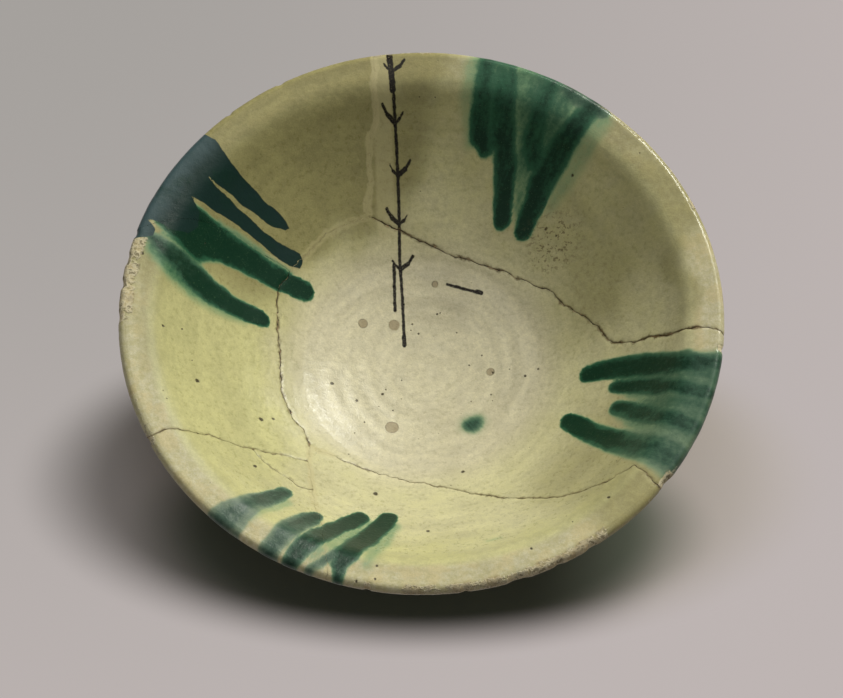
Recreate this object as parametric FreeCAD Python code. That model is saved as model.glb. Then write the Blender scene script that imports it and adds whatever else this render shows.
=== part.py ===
import FreeCAD, Part
from FreeCAD import Vector
import math
import os

# A glazed earthenware bowl that was broken and mended: clay sherds with a glaze coat on each, a plaster
# fill with a coat of paint, glue in every break, and a ring foot.
# Millimetres, +Z up. The origin is on the bowl's axis, in the plane that the foot stands on.
# -Y is the side nearest to the camera, and +X is on its right.

# Sizes over the glaze
rim_radius = 102.0
overall_height = 59.0
glaze_thickness = 0.45
glaze_stop_radius = 47.0

# Thrown body
wall_thickness = 5.4
wall_foot_thickness = 6.4
wall_bow = 3.0
floor_thickness = 4.9
well_radius = 41.0
well_rise = 6.6

# Turned-out lip
lip_width = 9.6
lip_rise = 1.6
lip_roll = 1.8
fold_width = 3.4
fold_drop = 1.95

# Ring foot
foot_radius = 39.0
foot_wall = 7.4
foot_height = 5.0
foot_flare = 1.0
foot_edge = 0.9

# Breaks: the width of the glue in them, and how far the cuts run past the clay
seam_gap = 0.3
overrun = 4.0

full_turn = 360.0
half = 0.5

# Where the three ends of the long breaks meet, as shares of the rim's radius, X to the right and Y away
top_corner_share = (-0.172, 0.525)
fill_corner_share = (-0.451, 0.319)
bottom_corner_share = (-0.377, -0.329)
left_corner_share = (-0.373, -0.395)
small_corner_share = (-0.564, -0.402)
lower_corner_share = (-0.361, -0.535)

# The line of each break between the two pieces that it parts, as shares of the rim's radius
break_shares = {
    "top_centre": [
        top_corner_share, (-0.137, 0.513), (-0.049, 0.482), (0.059, 0.436), (0.147, 0.401), (0.245, 0.366),
        (0.326, 0.323), (0.407, 0.274), (0.448, 0.246), (0.486, 0.193), (0.552, 0.140), (0.596, 0.082),
        (0.637, 0.012), (0.678, -0.007), (0.755, -0.022), (0.830, -0.043), (0.882, -0.052), (0.951, -0.057),
        (0.990, -0.084), (1.040, -0.100),
    ],
    "fill_top": [
        top_corner_share, (-0.189, 0.549), (-0.177, 0.627), (-0.181, 0.725), (-0.157, 0.794),
        (-0.165, 0.875), (-0.160, 0.941), (-0.162, 1.040),
    ],
    "fill_centre": [
        top_corner_share, (-0.206, 0.520), (-0.265, 0.495), (-0.324, 0.461), (-0.358, 0.422),
        (-0.402, 0.368), fill_corner_share,
    ],
    "fill_left": [
        fill_corner_share, (-0.539, 0.346), (-0.608, 0.368), (-0.681, 0.387), (-0.755, 0.377),
        (-0.824, 0.353), (-0.892, 0.328), (-0.990, 0.285),
    ],
    "left_centre": [
        fill_corner_share, (-0.490, 0.245), (-0.498, 0.190), (-0.488, 0.118), (-0.485, 0.050),
        (-0.479, -0.049), (-0.469, -0.123), (-0.446, -0.190), (-0.434, -0.227), (-0.397, -0.255),
        bottom_corner_share,
    ],
    "left_bottom": [
        bottom_corner_share, left_corner_share,
    ],
    "left_lower_left": [
        (-0.930, -0.475), (-0.879, -0.456), (-0.841, -0.434), (-0.788, -0.422), (-0.752, -0.419),
        (-0.698, -0.396), (-0.674, -0.403), (-0.629, -0.403), small_corner_share,
    ],
    "left_small": [
        small_corner_share, (-0.494, -0.398), (-0.450, -0.392), (-0.410, -0.396), left_corner_share,
    ],
    "small_lower_left": [
        small_corner_share, (-0.505, -0.459), (-0.465, -0.484), (-0.404, -0.525), lower_corner_share,
    ],
    "small_bottom": [
        left_corner_share, (-0.368, -0.461), lower_corner_share,
    ],
    "lower_left_bottom": [
        lower_corner_share, (-0.348, -0.608), (-0.333, -0.667), (-0.322, -0.725), (-0.314, -0.784),
        (-0.304, -0.882), (-0.299, -0.951), (-0.292, -1.040),
    ],
    "centre_bottom": [
        bottom_corner_share, (-0.284, -0.360), (-0.192, -0.396), (-0.102, -0.426), (0.000, -0.451),
        (0.108, -0.485), (0.196, -0.525), (0.294, -0.557), (0.373, -0.578), (0.461, -0.598),
        (0.529, -0.598), (0.588, -0.583), (0.647, -0.563), (0.689, -0.547), (0.716, -0.576),
        (0.760, -0.637), (0.820, -0.700),
    ],
}

# A place in the middle of each piece, as shares of the rim's radius
piece_shares = {
    "top": (0.30, 0.68),
    "centre": (0.10, 0.05),
    "left": (-0.74, -0.05),
    "small": (-0.43, -0.44),
    "lower_left": (-0.59, -0.62),
    "bottom": (0.10, -0.74),
    "fill": (-0.55, 0.62),
}


def at(radius, height):
    """A point of the bowl's section."""
    return Vector(radius, 0, height)


def turned(direction):
    """The direction a quarter turn to the right in the section."""
    return Vector(direction.z, 0, -direction.x)


def bowed_arc(start, end, bow):
    """An arc from start to end that stands bow away from the straight line, on its right."""
    across = turned(end - start).normalize()
    return Part.Arc(start, (start + end) * half + across * bow, end)


def tangent_arc(start, direction, end):
    """The arc that leaves start along direction and comes to end."""
    chord = end - start
    along = Vector(direction).normalize()
    across = turned(along)
    turn = math.atan2(chord.dot(across), chord.dot(along))
    return bowed_arc(start, end, -chord.Length * half * math.tan(turn * half))


def end_direction(curve):
    """The direction in which a curve arrives at its end."""
    return curve.tangent(curve.LastParameter)[0]


def revolved(face):
    """The solid that a section makes when it is turned about the bowl's axis."""
    return face.revolve(Vector(0, 0, 0), Vector(0, 0, 1), full_turn)


def section_points():
    """The named points of the clay's section, from the floor's centre round to the base."""
    clay_rim = rim_radius - glaze_thickness
    clay_top = overall_height - glaze_thickness
    floor_top = foot_height + floor_thickness
    roll_centre = at(clay_rim - lip_roll, clay_top - lip_roll)
    lip_start = at(rim_radius - lip_width, clay_top - lip_rise)
    fold_start = lip_start - at(fold_width, fold_drop)
    return {
        "floor": at(0, floor_top),
        "well_edge": at(well_radius, floor_top + well_rise),
        "fold_start": fold_start,
        "lip_start": lip_start,
        "roll_top": roll_centre + at(0, lip_roll),
        "roll_side": roll_centre + at(lip_roll, 0),
        "roll_bottom": roll_centre - at(0, lip_roll),
        "foot_outside": at(foot_radius + foot_flare, foot_height + foot_wall * half),
        "foot_inside": at(foot_radius - foot_wall, foot_height),
        "base": at(0, foot_height),
    }


def section_lines(points):
    """The clay's surface as curves: the glazed stretch, then the bare stretch under it."""
    floor_arc = tangent_arc(points["floor"], Vector(1, 0, 0), points["well_edge"])
    wall_arc = bowed_arc(points["well_edge"], points["fold_start"], wall_bow)
    fold_arc = tangent_arc(points["fold_start"], end_direction(wall_arc), points["lip_start"])
    lip_arc = tangent_arc(points["lip_start"], end_direction(fold_arc), points["roll_top"])
    roll_out = tangent_arc(points["roll_top"], Vector(1, 0, 0), points["roll_side"])
    roll_in = tangent_arc(points["roll_side"], Vector(0, 0, -1), points["roll_bottom"])
    # The outside of the wall follows the inside, thicker towards the foot
    low_way = turned(wall_arc.tangent(wall_arc.FirstParameter)[0])
    high_way = turned(end_direction(wall_arc))
    wall_low = points["well_edge"] + low_way * wall_foot_thickness
    wall_high = points["fold_start"] + high_way * wall_thickness
    under_lip = tangent_arc(points["roll_bottom"], Vector(-1, 0, 0), wall_high)
    share_left = (glaze_stop_radius - wall_low.x) / (wall_high.x - wall_low.x)
    whole_outside = bowed_arc(wall_high, wall_low, -wall_bow)
    first = whole_outside.FirstParameter
    last = whole_outside.LastParameter
    stop = last + (first - last) * share_left
    outside = whole_outside.toShape().Curve
    glazed_outside = Part.ArcOfCircle(outside, first, stop)
    bare_outside = Part.ArcOfCircle(outside, stop, last)
    glazed = [floor_arc, wall_arc, fold_arc, lip_arc, roll_out, roll_in, under_lip, glazed_outside]
    bare = [
        bare_outside,
        Part.LineSegment(wall_low, points["foot_outside"]),
        Part.LineSegment(points["foot_outside"], points["foot_inside"]),
        Part.LineSegment(points["foot_inside"], points["base"]),
        Part.LineSegment(points["base"], points["floor"]),
    ]
    return glazed, bare


def wire_of(curves):
    """One wire through curves that follow each other."""
    return Part.Wire([curve.toShape() for curve in curves])


def coat_section(glazed):
    """The glaze's section: a strip of even thickness over the glazed stretch of the clay."""
    strip = wire_of(glazed).makeOffset2D(glaze_thickness, 0, True, True, False)
    return Part.Face(Part.Wire(Part.sortEdges(strip.Edges)[0]))


def foot_section(points):
    """The ring foot's section: its top follows the underside of the body, its lower edges are eased."""
    outside = points["foot_outside"]
    inside = points["foot_inside"]
    low_outside = at(foot_radius, foot_edge)
    low_inside = at(inside.x, foot_edge)
    rest_outside = at(foot_radius - foot_edge, 0)
    rest_inside = at(inside.x + foot_edge, 0)
    outline = [
        Part.LineSegment(outside, low_outside),
        tangent_arc(low_outside, Vector(0, 0, -1), rest_outside),
        Part.LineSegment(rest_outside, rest_inside),
        tangent_arc(rest_inside, Vector(-1, 0, 0), low_inside),
        Part.LineSegment(low_inside, inside),
        Part.LineSegment(inside, outside),
    ]
    return Part.Face(wire_of(outline))


def plan_point(share):
    """A place in plan, from shares of the rim's radius, below the foot."""
    return Vector(share[0] * rim_radius, share[1] * rim_radius, -overrun)


def break_slab(shares):
    """The upright slab that holds the glue of one break. Its ends run on by half its width."""
    line = [plan_point(share) for share in shares]
    reach = seam_gap * half
    ways = [(after - before).normalize() for before, after in zip(line, line[1:])]
    line[0] = line[0] - ways[0] * reach
    line[-1] = line[-1] + ways[-1] * reach
    left = []
    right = []
    for place, before, after in zip(line, ways[:1] + ways, ways + ways[-1:]):
        middle = (before + after).normalize()
        side = Vector(-middle.y, middle.x, 0) * (reach / middle.dot(after))
        left.append(place + side)
        right.insert(0, place - side)
    outline = left + right
    strip = Part.Face(Part.makePolygon(outline + outline[:1]))
    return strip.extrude(Vector(0, 0, overall_height + overrun + overrun))


def pieces_of(body, slabs):
    """The body parted by the slabs, each piece under the name of the place that it stands over."""
    parted = body.cut(slabs).Solids
    named = {}
    for name, share in piece_shares.items():
        foot = plan_point(share)
        plumb = Part.makeLine(foot, foot + Vector(0, 0, overall_height + overrun + overrun))
        own = [solid for solid in parted if solid.common(plumb).Length > 0]
        named[name] = own[0] if len(own) == 1 else Part.makeCompound(own)
    return named


def seams_of(body, slabs):
    """The glue in each break. Where breaks meet, the first one named keeps the corner."""
    seams = {}
    taken = []
    for name, slab in slabs.items():
        seam = body.common(slab)
        if taken:
            seam = seam.cut(taken)
        seams[name] = Part.makeCompound(seam.Solids)
        taken.append(slab)
    return seams


def main():
    """Makes every piece and writes one file for each."""
    points = section_points()
    glazed, bare = section_lines(points)
    clay = revolved(Part.Face(wire_of(glazed + bare)))
    coat = revolved(coat_section(glazed))
    slabs = {name: break_slab(shares) for name, shares in break_shares.items()}

    nodes = {}
    for name, solid in pieces_of(clay, list(slabs.values())).items():
        nodes["plaster_fill" if name == "fill" else "sherd_" + name] = solid
    for name, solid in pieces_of(coat, list(slabs.values())).items():
        nodes["fill_paint" if name == "fill" else "glaze_" + name] = solid
    for name, solid in seams_of(clay, slabs).items():
        nodes["glue_" + name] = solid
    nodes["foot_ring"] = revolved(foot_section(points))

    os.makedirs("parts", exist_ok=True)
    for name, shape in nodes.items():
        shape.exportStep("parts/" + name + ".step")


main()
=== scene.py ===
"""A splashed, glazed and mended earthenware bowl: its pieces, finishes, stage, lights and camera."""
import math
from functools import partial
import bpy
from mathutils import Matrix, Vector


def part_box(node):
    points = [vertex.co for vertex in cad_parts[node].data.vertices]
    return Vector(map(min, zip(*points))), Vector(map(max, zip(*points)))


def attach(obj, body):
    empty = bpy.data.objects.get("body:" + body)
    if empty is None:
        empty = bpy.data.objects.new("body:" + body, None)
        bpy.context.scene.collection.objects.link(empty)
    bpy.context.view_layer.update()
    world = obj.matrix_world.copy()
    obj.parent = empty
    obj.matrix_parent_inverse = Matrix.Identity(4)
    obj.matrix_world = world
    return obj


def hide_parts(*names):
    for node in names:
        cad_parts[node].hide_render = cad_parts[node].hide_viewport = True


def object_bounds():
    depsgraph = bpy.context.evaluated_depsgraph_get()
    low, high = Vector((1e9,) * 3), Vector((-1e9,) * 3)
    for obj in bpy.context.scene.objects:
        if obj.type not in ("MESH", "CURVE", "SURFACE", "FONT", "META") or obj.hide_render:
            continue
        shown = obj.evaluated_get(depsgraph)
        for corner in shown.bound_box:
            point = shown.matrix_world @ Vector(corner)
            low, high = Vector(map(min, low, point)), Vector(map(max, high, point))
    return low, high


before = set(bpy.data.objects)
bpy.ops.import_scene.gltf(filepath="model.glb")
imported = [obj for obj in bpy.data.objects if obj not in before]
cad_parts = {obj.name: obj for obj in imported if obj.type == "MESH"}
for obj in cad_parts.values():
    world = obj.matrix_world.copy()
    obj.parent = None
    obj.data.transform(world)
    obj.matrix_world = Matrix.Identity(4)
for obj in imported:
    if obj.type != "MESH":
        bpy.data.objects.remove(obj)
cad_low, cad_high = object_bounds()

from types import SimpleNamespace

import bpy
import numpy as np
from bpy.props import FloatProperty, PointerProperty, StringProperty
from bpy.types import Operator, Panel, PropertyGroup

bl_info = {
    "name": "Mended Bowl",
    "version": (1, 0, 0),
    "blender": (4, 5, 0),
    "location": "View3D > Sidebar > Bowl",
    "description": "Makes the visible pieces and finishes of a splashed, glazed and mended bowl",
    "category": "Object",
}

# All working sizes are millimetres, and a mesh is turned to metres when it is made
MM = 0.001
foot_low, foot_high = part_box("foot_ring")
RIM_RADIUS = (cad_high[0] - cad_low[0]) / 2 / MM
OVERALL_HEIGHT = (cad_high[2] - cad_low[2]) / MM
FOOT_TOP = (foot_high[2] - foot_low[2]) / MM
FOOT_TOP_RADIUS = (foot_high[0] - foot_low[0]) / 2 / MM

# The clay's section, as the frame has it
GLAZE = 0.45
WELL_RADIUS = 41.0
WELL_RISE = 6.6
FLOOR_THICKNESS = 4.9
WALL_BOW = 3.0
WALL_THICKNESS = 5.4
WALL_FOOT_THICKNESS = 6.4
LIP_WIDTH = 9.6
LIP_RISE = 1.6
LIP_ROLL = 1.8
FOLD = (3.4, 1.95)  # The fold inside the lip: its width and its drop
FOOT_RADIUS = 39.0
FOOT_BORE = 31.6
FOOT_HEIGHT = 5.0
FOOT_EDGE = 0.9
GLAZE_STOP = 47.0
CLAY_SINK = 0.015  # The clay's skin lies this far under the glaze's back

# Where the breaks meet, and the line of each break, as shares of the rim's radius
TOP_CORNER = (-0.172, 0.525)
FILL_CORNER = (-0.451, 0.319)
BOTTOM_CORNER = (-0.377, -0.329)
LEFT_CORNER = (-0.373, -0.395)
SMALL_CORNER = (-0.564, -0.402)
LOWER_CORNER = (-0.361, -0.535)
BREAKS = {
    "top_centre": [TOP_CORNER, (-0.137, 0.513), (-0.049, 0.482), (0.059, 0.436), (0.147, 0.401),
        (0.245, 0.366), (0.326, 0.323), (0.407, 0.274), (0.448, 0.246), (0.486, 0.193), (0.552, 0.14),
        (0.596, 0.082), (0.637, 0.012), (0.678, -0.007), (0.755, -0.022), (0.83, -0.043), (0.882, -0.052),
        (0.951, -0.057), (0.99, -0.084), (1.04, -0.1)],
    "fill_top": [TOP_CORNER, (-0.189, 0.549), (-0.177, 0.627), (-0.181, 0.725), (-0.157, 0.794),
        (-0.165, 0.875), (-0.16, 0.941), (-0.162, 1.04)],
    "fill_centre": [TOP_CORNER, (-0.206, 0.52), (-0.265, 0.495), (-0.324, 0.461), (-0.358, 0.422),
        (-0.402, 0.368), FILL_CORNER],
    "fill_left": [FILL_CORNER, (-0.539, 0.346), (-0.608, 0.368), (-0.681, 0.387), (-0.755, 0.377),
        (-0.824, 0.353), (-0.892, 0.328), (-0.99, 0.285)],
    "left_centre": [FILL_CORNER, (-0.49, 0.245), (-0.498, 0.19), (-0.488, 0.118), (-0.485, 0.05),
        (-0.479, -0.049), (-0.469, -0.123), (-0.446, -0.19), (-0.434, -0.227), (-0.397, -0.255),
        BOTTOM_CORNER],
    "left_bottom": [BOTTOM_CORNER, LEFT_CORNER],
    "left_lower_left": [(-0.93, -0.475), (-0.879, -0.456), (-0.841, -0.434), (-0.788, -0.422),
        (-0.752, -0.419), (-0.698, -0.396), (-0.674, -0.403), (-0.629, -0.403), SMALL_CORNER],
    "left_small": [SMALL_CORNER, (-0.494, -0.398), (-0.45, -0.392), (-0.41, -0.396), LEFT_CORNER],
    "small_lower_left": [SMALL_CORNER, (-0.505, -0.459), (-0.465, -0.484), (-0.404, -0.525), LOWER_CORNER],
    "small_bottom": [LEFT_CORNER, (-0.368, -0.461), LOWER_CORNER],
    "lower_left_bottom": [LOWER_CORNER, (-0.348, -0.608), (-0.333, -0.667), (-0.322, -0.725),
        (-0.314, -0.784), (-0.304, -0.882), (-0.299, -0.951), (-0.292, -1.04)],
    "centre_bottom": [BOTTOM_CORNER, (-0.284, -0.36), (-0.192, -0.396), (-0.102, -0.426), (0, -0.451),
        (0.108, -0.485), (0.196, -0.525), (0.294, -0.557), (0.373, -0.578), (0.461, -0.598), (0.529, -0.598),
        (0.588, -0.583), (0.647, -0.563), (0.689, -0.547), (0.716, -0.576), (0.76, -0.637), (0.82, -0.7)],
}

# The breaks round each piece in order. A minus turns a break's line round, and rim goes along the rim
PIECES = {
    "top": ["fill_top", "rim", "-top_centre"],
    "centre": ["top_centre", "rim", "-centre_bottom", "-left_centre", "-fill_centre"],
    "left": ["fill_left", "rim", "left_lower_left", "left_small", "-left_bottom", "-left_centre"],
    "small": ["left_small", "small_bottom", "-small_lower_left"],
    "lower_left": ["lower_left_bottom", "rim", "left_lower_left", "small_lower_left"],
    "bottom": ["centre_bottom", "rim", "-lower_left_bottom", "-small_bottom", "-left_bottom"],
    "fill": ["fill_centre", "fill_left", "rim", "-fill_top"],
}

# Half the width of each break at the glaze and how dark it shows, from 0 to 1, and for how many millimetres
# from its first corner it is filled over
BREAK_LOOKS = {
    "top_centre": (0.2, 1, 0), "fill_top": (0.05, 0.12, 0), "fill_centre": (0.06, 0.25, 0),
    "fill_left": (0.05, 0.1, 0), "left_centre": (0.16, 0.85, 0), "left_bottom": (0.05, 0.15, 0),
    "left_lower_left": (0.13, 0.75, 0), "left_small": (0.12, 0.7, 0), "small_lower_left": (0.11, 0.6, 0),
    "small_bottom": (0.05, 0.12, 0), "lower_left_bottom": (0.05, 0.1, 0), "centre_bottom": (0.14, 0.8, 16),
}

# The jags of a fracture, each as (reach, length)
JAGS = ((0.34, 2.1), (0.45, 8.0))

# The runs of green glaze: how soft the edge is, how deep the colour and how greyed, each at the rim and then
# at the tip, and the middle line as (x, y, half width)
RUNS = [
    # Far right group: washes, then the runs over them
    (2, 1.4, 0.5, 0.42, 0.15, 0, [(27, 106, 8), (26, 96, 8), (26, 84, 8.5), (28, 75, 6)]),
    (2, 1.2, 0.5, 0.34, 0.2, 0, [(50, 96, 10), (46, 86, 10), (42, 76, 9), (37.5, 66, 5), (34.8, 57, 2.8),
        (33.5, 50.5, 1.5)]),
    (1.6, 1.4, 0.4, 0.3, 0.1, 0, [(39, 102, 4.5), (37, 92, 4.5), (35.5, 82, 4.2), (34.8, 72, 3),
        (34.2, 62, 2), (33.8, 54, 1.6)]),
    (2.4, 2.2, 0.24, 0.18, 0, 0, [(62, 74, 5), (55, 66, 6), (50, 59, 5), (45, 52, 3)]),
    (2, 1.8, 0.22, 0.2, 0, 0, [(18, 96, 4), (16.5, 84, 4), (17.5, 75, 3.2)]),
    (1.5, 0.7, 0.56, 0.8, 0.1, 0, [(24, 106, 3), (23.4, 98, 3.2), (21.6, 89, 3.6), (20.6, 81, 3.9),
        (20.6, 76, 3.9), (22.3, 72.8, 3)]),
    (1.5, 1.4, 0.46, 0.66, 0, 0, [(29, 92, 2.6), (26.5, 82, 3.4), (26.5, 75, 3.6)]),
    (1.3, 0.5, 0.52, 0.92, 0.1, 0, [(32.5, 101, 2.2), (32.2, 95, 2.4), (31.2, 87, 2.3), (29.6, 78, 3.4),
        (29.4, 69, 4.2), (29.3, 60, 3.7), (28.5, 54, 3.2), (28.2, 51.4, 3)]),
    (1.6, 1.6, 0.6, 0.66, 0.1, 0, [(49, 94, 2.6), (44.5, 87, 3.4), (41.5, 80, 4), (39.5, 73, 4.4),
        (39.4, 67, 3.8)]),
    (1.6, 0.5, 0.62, 0.96, 0.1, 0, [(62, 82, 3), (57.5, 77, 4.2), (51, 70.5, 4.8), (46, 65, 5),
        (42.2, 60, 4.7), (39.6, 55, 4), (37.2, 50, 3.6), (35.9, 47.2, 3.2)]),
    (0.7, 0.9, 0.7, 0.64, 0.6, 0.5, [(68, 83, 4), (62.5, 78.2, 3.6), (57, 81.6, 4), (51, 86, 3.2)]),
    # Left group: the two old runs that the restorer left, and the washes beside them
    (2, 1.4, 0.42, 0.28, 0, 0, [(-91, 24.5, 3), (-84, 19.6, 5.4), (-77, 16.4, 5.9), (-70, 14, 5),
        (-62, 12.8, 4)]),
    (1.2, 1, 0.34, 0.36, 0, 0, [(-88, 30.2, 1), (-82, 28, 1.6), (-77, 25.4, 1.8)]),
    (1, 0.8, 0.3, 0.28, 0.2, 0.2, [(-70, 40.2, 1.2), (-62, 37.6, 1.9), (-54, 34.6, 1.9), (-46, 31.8, 1.4)]),
    (0.9, 0.3, 1, 1.1, 0.1, 0, [(-90, 40, 4), (-80, 37.2, 6), (-72, 34.6, 5.9), (-66, 33, 5.2),
        (-60, 31.6, 4.7), (-52, 29.2, 4), (-45, 27.4, 3.5), (-41.2, 26.8, 3.4)]),
    (1.2, 1, 1, 0.9, 0.1, 0, [(-88, 35.5, 3), (-81, 32, 4.2), (-76.5, 29.4, 3.9), (-72.5, 30.8, 3.4)]),
    (1.2, 0.3, 0.8, 1.1, 0.4, 0, [(-92, 28.4, 1.8), (-88, 25.8, 2.9), (-83, 22.8, 4.2), (-78, 19.6, 4.7),
        (-72, 16.4, 4.4), (-66, 14.8, 3.7), (-60, 13.6, 3.2), (-55.8, 13.1, 3)]),
    # Near left group, thin and greyed
    (1.6, 1.2, 0.18, 0.22, 0, 0, [(-56, -76, 2), (-50, -69, 3), (-45, -64, 2.6)]),
    (1.2, 1, 0.22, 0.26, 0, 0, [(-36, -90, 1.6), (-29, -83.5, 2.8), (-23.5, -77.5, 2.6), (-17.5, -68.5, 2)]),
    (1.8, 1.4, 0.2, 0.26, 0, 0, [(-18, -92, 2.6), (-13.5, -80, 4), (-9.5, -69, 3)]),
    (0.9, 0.8, 0.62, 0.66, 0.9, 0.75, [(-76, -89, 7.5), (-67, -80.5, 7.2), (-62.6, -75.6, 6.2),
        (-58, -71, 4.6), (-53, -66.4, 3.8)]),
    (0.8, 0.4, 0.74, 0.9, 0.6, 0.3, [(-53, -66.4, 3.6), (-48.6, -61.8, 3.3), (-46.2, -59.2, 2.9)]),
    (0.9, 0.8, 0.66, 0.7, 0.85, 0.65, [(-56, -101, 3), (-51, -91, 3.1), (-48.2, -85.4, 3.5),
        (-44.4, -79.6, 4), (-40.4, -74.4, 4.1)]),
    (0.8, 0.35, 0.72, 0.88, 0.6, 0.3, [(-40.4, -74.4, 4), (-37.2, -70.8, 3.7), (-35.4, -68.9, 2.9)]),
    (0.9, 0.35, 0.62, 1.08, 0.6, 0, [(-50, -106, 2.6), (-43.4, -93, 2.7), (-40.5, -88.2, 3.2),
        (-37, -83.6, 3.8), (-32.8, -78.8, 3.9), (-28.3, -73.8, 3.7), (-23.8, -69.4, 3.3), (-20.4, -66, 3)]),
    (1, 0.35, 0.7, 1.1, 0.35, 0, [(-27.8, -110, 1.3), (-27.2, -98, 1.5), (-26.4, -92, 2.9), (-24, -87, 4.2),
        (-20.3, -80.8, 4.1), (-16.4, -74.8, 3.8), (-13.2, -69.4, 3.5), (-11.3, -65.3, 3.2)]),
    (0.8, 0.9, 0.5, 0.6, 0.8, 0.6, [(-42, -101, 1.2), (-36.5, -94.5, 1.5), (-32, -91, 1.7),
        (-27, -87.5, 2.2)]),
    # Right group: one wash with darker runs in it
    (2, 1.2, 0.54, 0.46, 0.5, 0.25, [(108, -28, 13), (94, -27, 12), (84, -23.5, 9.8), (75, -19.5, 6.8),
        (70, -17.6, 4.4)]),
    (2, 1.2, 0.52, 0.44, 0.6, 0.25, [(106, -46, 12), (94, -42, 12), (84, -37.5, 9.8), (75, -32.5, 7.6),
        (70, -29.5, 4.6)]),
    (1.8, 1.4, 0.46, 0.44, 0.7, 0.5, [(98, -68, 7), (88, -58, 9), (79, -50, 8.4), (71, -44, 6),
        (65, -38.5, 3)]),
    (1.3, 0.45, 0.66, 0.98, 0.5, 0, [(112, -20, 2.6), (100, -19.5, 3.2), (92, -18.8, 3.8), (84, -16.4, 4.4),
        (75, -12.2, 4.4), (68, -10, 4.2), (62, -8.8, 3.8), (57.6, -8.5, 3.1)]),
    (1.4, 0.5, 0.6, 0.86, 0.5, 0.1, [(106, -34, 2.8), (96, -31.2, 3.2), (88, -28, 3.6), (80, -23.6, 3.6),
        (72, -19.2, 3.2), (66.6, -17.2, 2.6)]),
    (1.4, 0.6, 0.58, 0.8, 0.6, 0.15, [(104, -50, 3), (93, -45, 3.6), (86, -41, 3.8), (79, -36.6, 3.8),
        (72, -31, 3.6), (66.6, -26.2, 3)]),
    (1.6, 1, 0.5, 0.8, 0.8, 0.1, [(96, -62, 6), (84, -55.5, 6.4), (76, -50, 6.2), (69, -44.6, 5.2),
        (63, -39, 4.4)]),
    (0.9, 0.4, 0.8, 1.1, 0.1, 0, [(64, -40, 4.4), (58, -34.3, 4), (54, -29.8, 3.8), (50.6, -26.2, 3.3)]),
    # The round drop in the well with its pale ring, and a faint smear
    (2.2, 2.2, 0.24, 0.24, 0.3, 0.3, [(17, -21.4, 4.8), (18.6, -20.6, 4.8)]),
    (1.4, 1.4, 0.68, 0.68, 0.4, 0.4, [(17, -21.8, 2.9), (18.6, -20.4, 2.9)]),
    (1.6, 1.6, 0.22, 0.22, 0, 0, [(21.5, -79.6, 0.9), (26, -78.6, 0.9)]),
]

# The outline of the restorer's painted splash on the left
PAINT = [
    (-80, 75), (-74.2, 68.2), (-71, 66.2), (-69, 63.2), (-66, 59.6), (-60, 55.2), (-54, 51.4), (-49, 48.8),
    (-47, 47.4), (-46.3, 45.8), (-47.6, 44.8), (-52, 45), (-56, 46.2), (-60, 47.6), (-66, 50.2), (-74, 52.9),
    (-70.5, 50.6), (-66, 48.6), (-60, 45.4), (-55, 42.4), (-50, 40.2), (-45, 39.4), (-42.4, 38.2),
    (-41.4, 36.2), (-42.6, 34.2), (-46, 33.7), (-50, 35.2), (-55, 37.8), (-60, 40.2), (-66, 42.2), (-70, 43),
    (-79, 45), (-76, 41), (-77, 36), (-80, 32.6), (-84.5, 32.4), (-89, 33.6), (-93.4, 35), (-90.5, 31.4),
    (-91.5, 28.8), (-97.5, 27.4), (-104, 25), (-103, 38), (-97, 50), (-90, 63), (-85, 74),
]

# Painted shade of the inside: patches darkened where the lamps leave the walls and lip too light, and
# lightened by a negative amount where they leave them too dark. Then yellower parts of the inside. Each is
# (angle in degrees, half its reach, from radius, to radius, amount)
PAINTED_SHADE_PATCHES = [
    (128, 50, 42, 66, 0.86), (36, 40, 44, 60, 0.3), (30, 46, 66, 82, -0.15), (84, 30, 60, 86, 0.2),
    (14, 28, 36, 50, 0.16), (325, 38, 46, 70, 0.4), (190, 60, 56, 74, 0.12), (108, 34, 84, 94, 0.22),
    (40, 26, 85, 94, 0.16), (8, 16, 84, 89, 0.26), (8, 16, 92, 96, -0.26), (192, 40, 32, 40, 0.2),
    (192, 40, 48, 58, -0.2), (178, 24, 86, 90, 0.16), (178, 24, 93, 97, -0.16),
]
YELLOWS = [
    (196, 46, 42, 66, 0.95), (140, 50, 46, 66, 0.75), (250, 40, 66, 86, 0.65), (60, 60, 50, 74, 0.4),
    (300, 40, 74, 90, 0.45),
]

# Small marks on the inside, as (x, y, radius), and the middle of a crowd of specks
PITS = [
    (-75.5, -19, 0.75), (-54.5, -26.5, 0.8), (-50.5, -25, 0.6), (-31, -5.8, 0.7), (-87, -3, 0.45),
    (-81, -1, 0.45), (36, -3.5, 0.55), (-34, 47, 0.9), (-15.5, -52.3, 0.9), (14, -41, 0.7),
    (-55.5, -48.8, 0.8), (-22.5, -11.8, 0.45), (-19.7, -20.3, 0.45), (-13.5, -8.5, 0.55), (2, -71.5, 0.7),
    (-3.3, 18.5, 0.4), (-1.2, 15, 0.45), (-12.4, -6.8, 0.4), (-7, -3, 0.35), (-7, -10.2, 0.3),
    (-14.8, -13.6, 0.3), (-10, -15, 0.35), (12.3, 15, 0.3), (5.4, 22, 0.35), (6.6, 22.4, 0.35), (21, 6, 0.4),
    (16.6, 2.5, 0.3), (30.6, -0.2, 0.35), (40.3, -1.5, 0.35), (24.8, -1, 0.5), (13.5, -4.5, 0.25),
    (24, -9.5, 0.35), (24.5, -12, 0.4), (-1, -26.5, 0.3), (43.5, 46, 0.6), (47, 43, 0.5), (52.5, 59.5, 0.6),
    (-94.5, 22, 0.6), (-96, 17, 0.5), (-15, -97, 0.5), (35.5, -86, 0.55), (61, -67.5, 0.5),
    (-14.5, -92, 0.45), (-21, -98, 0.55), (75, 61, 0.4),
]
SCARS = [
    (-9.6, 18, 1.8), (-10.2, -21.8, 2.25), (4.7, 32.8, 1.1), (24, -0.5, 1.4), (-20.5, 18, 1.6),
]
SPECK_PLACE = (46.0, 41.0, 0.0)

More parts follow.
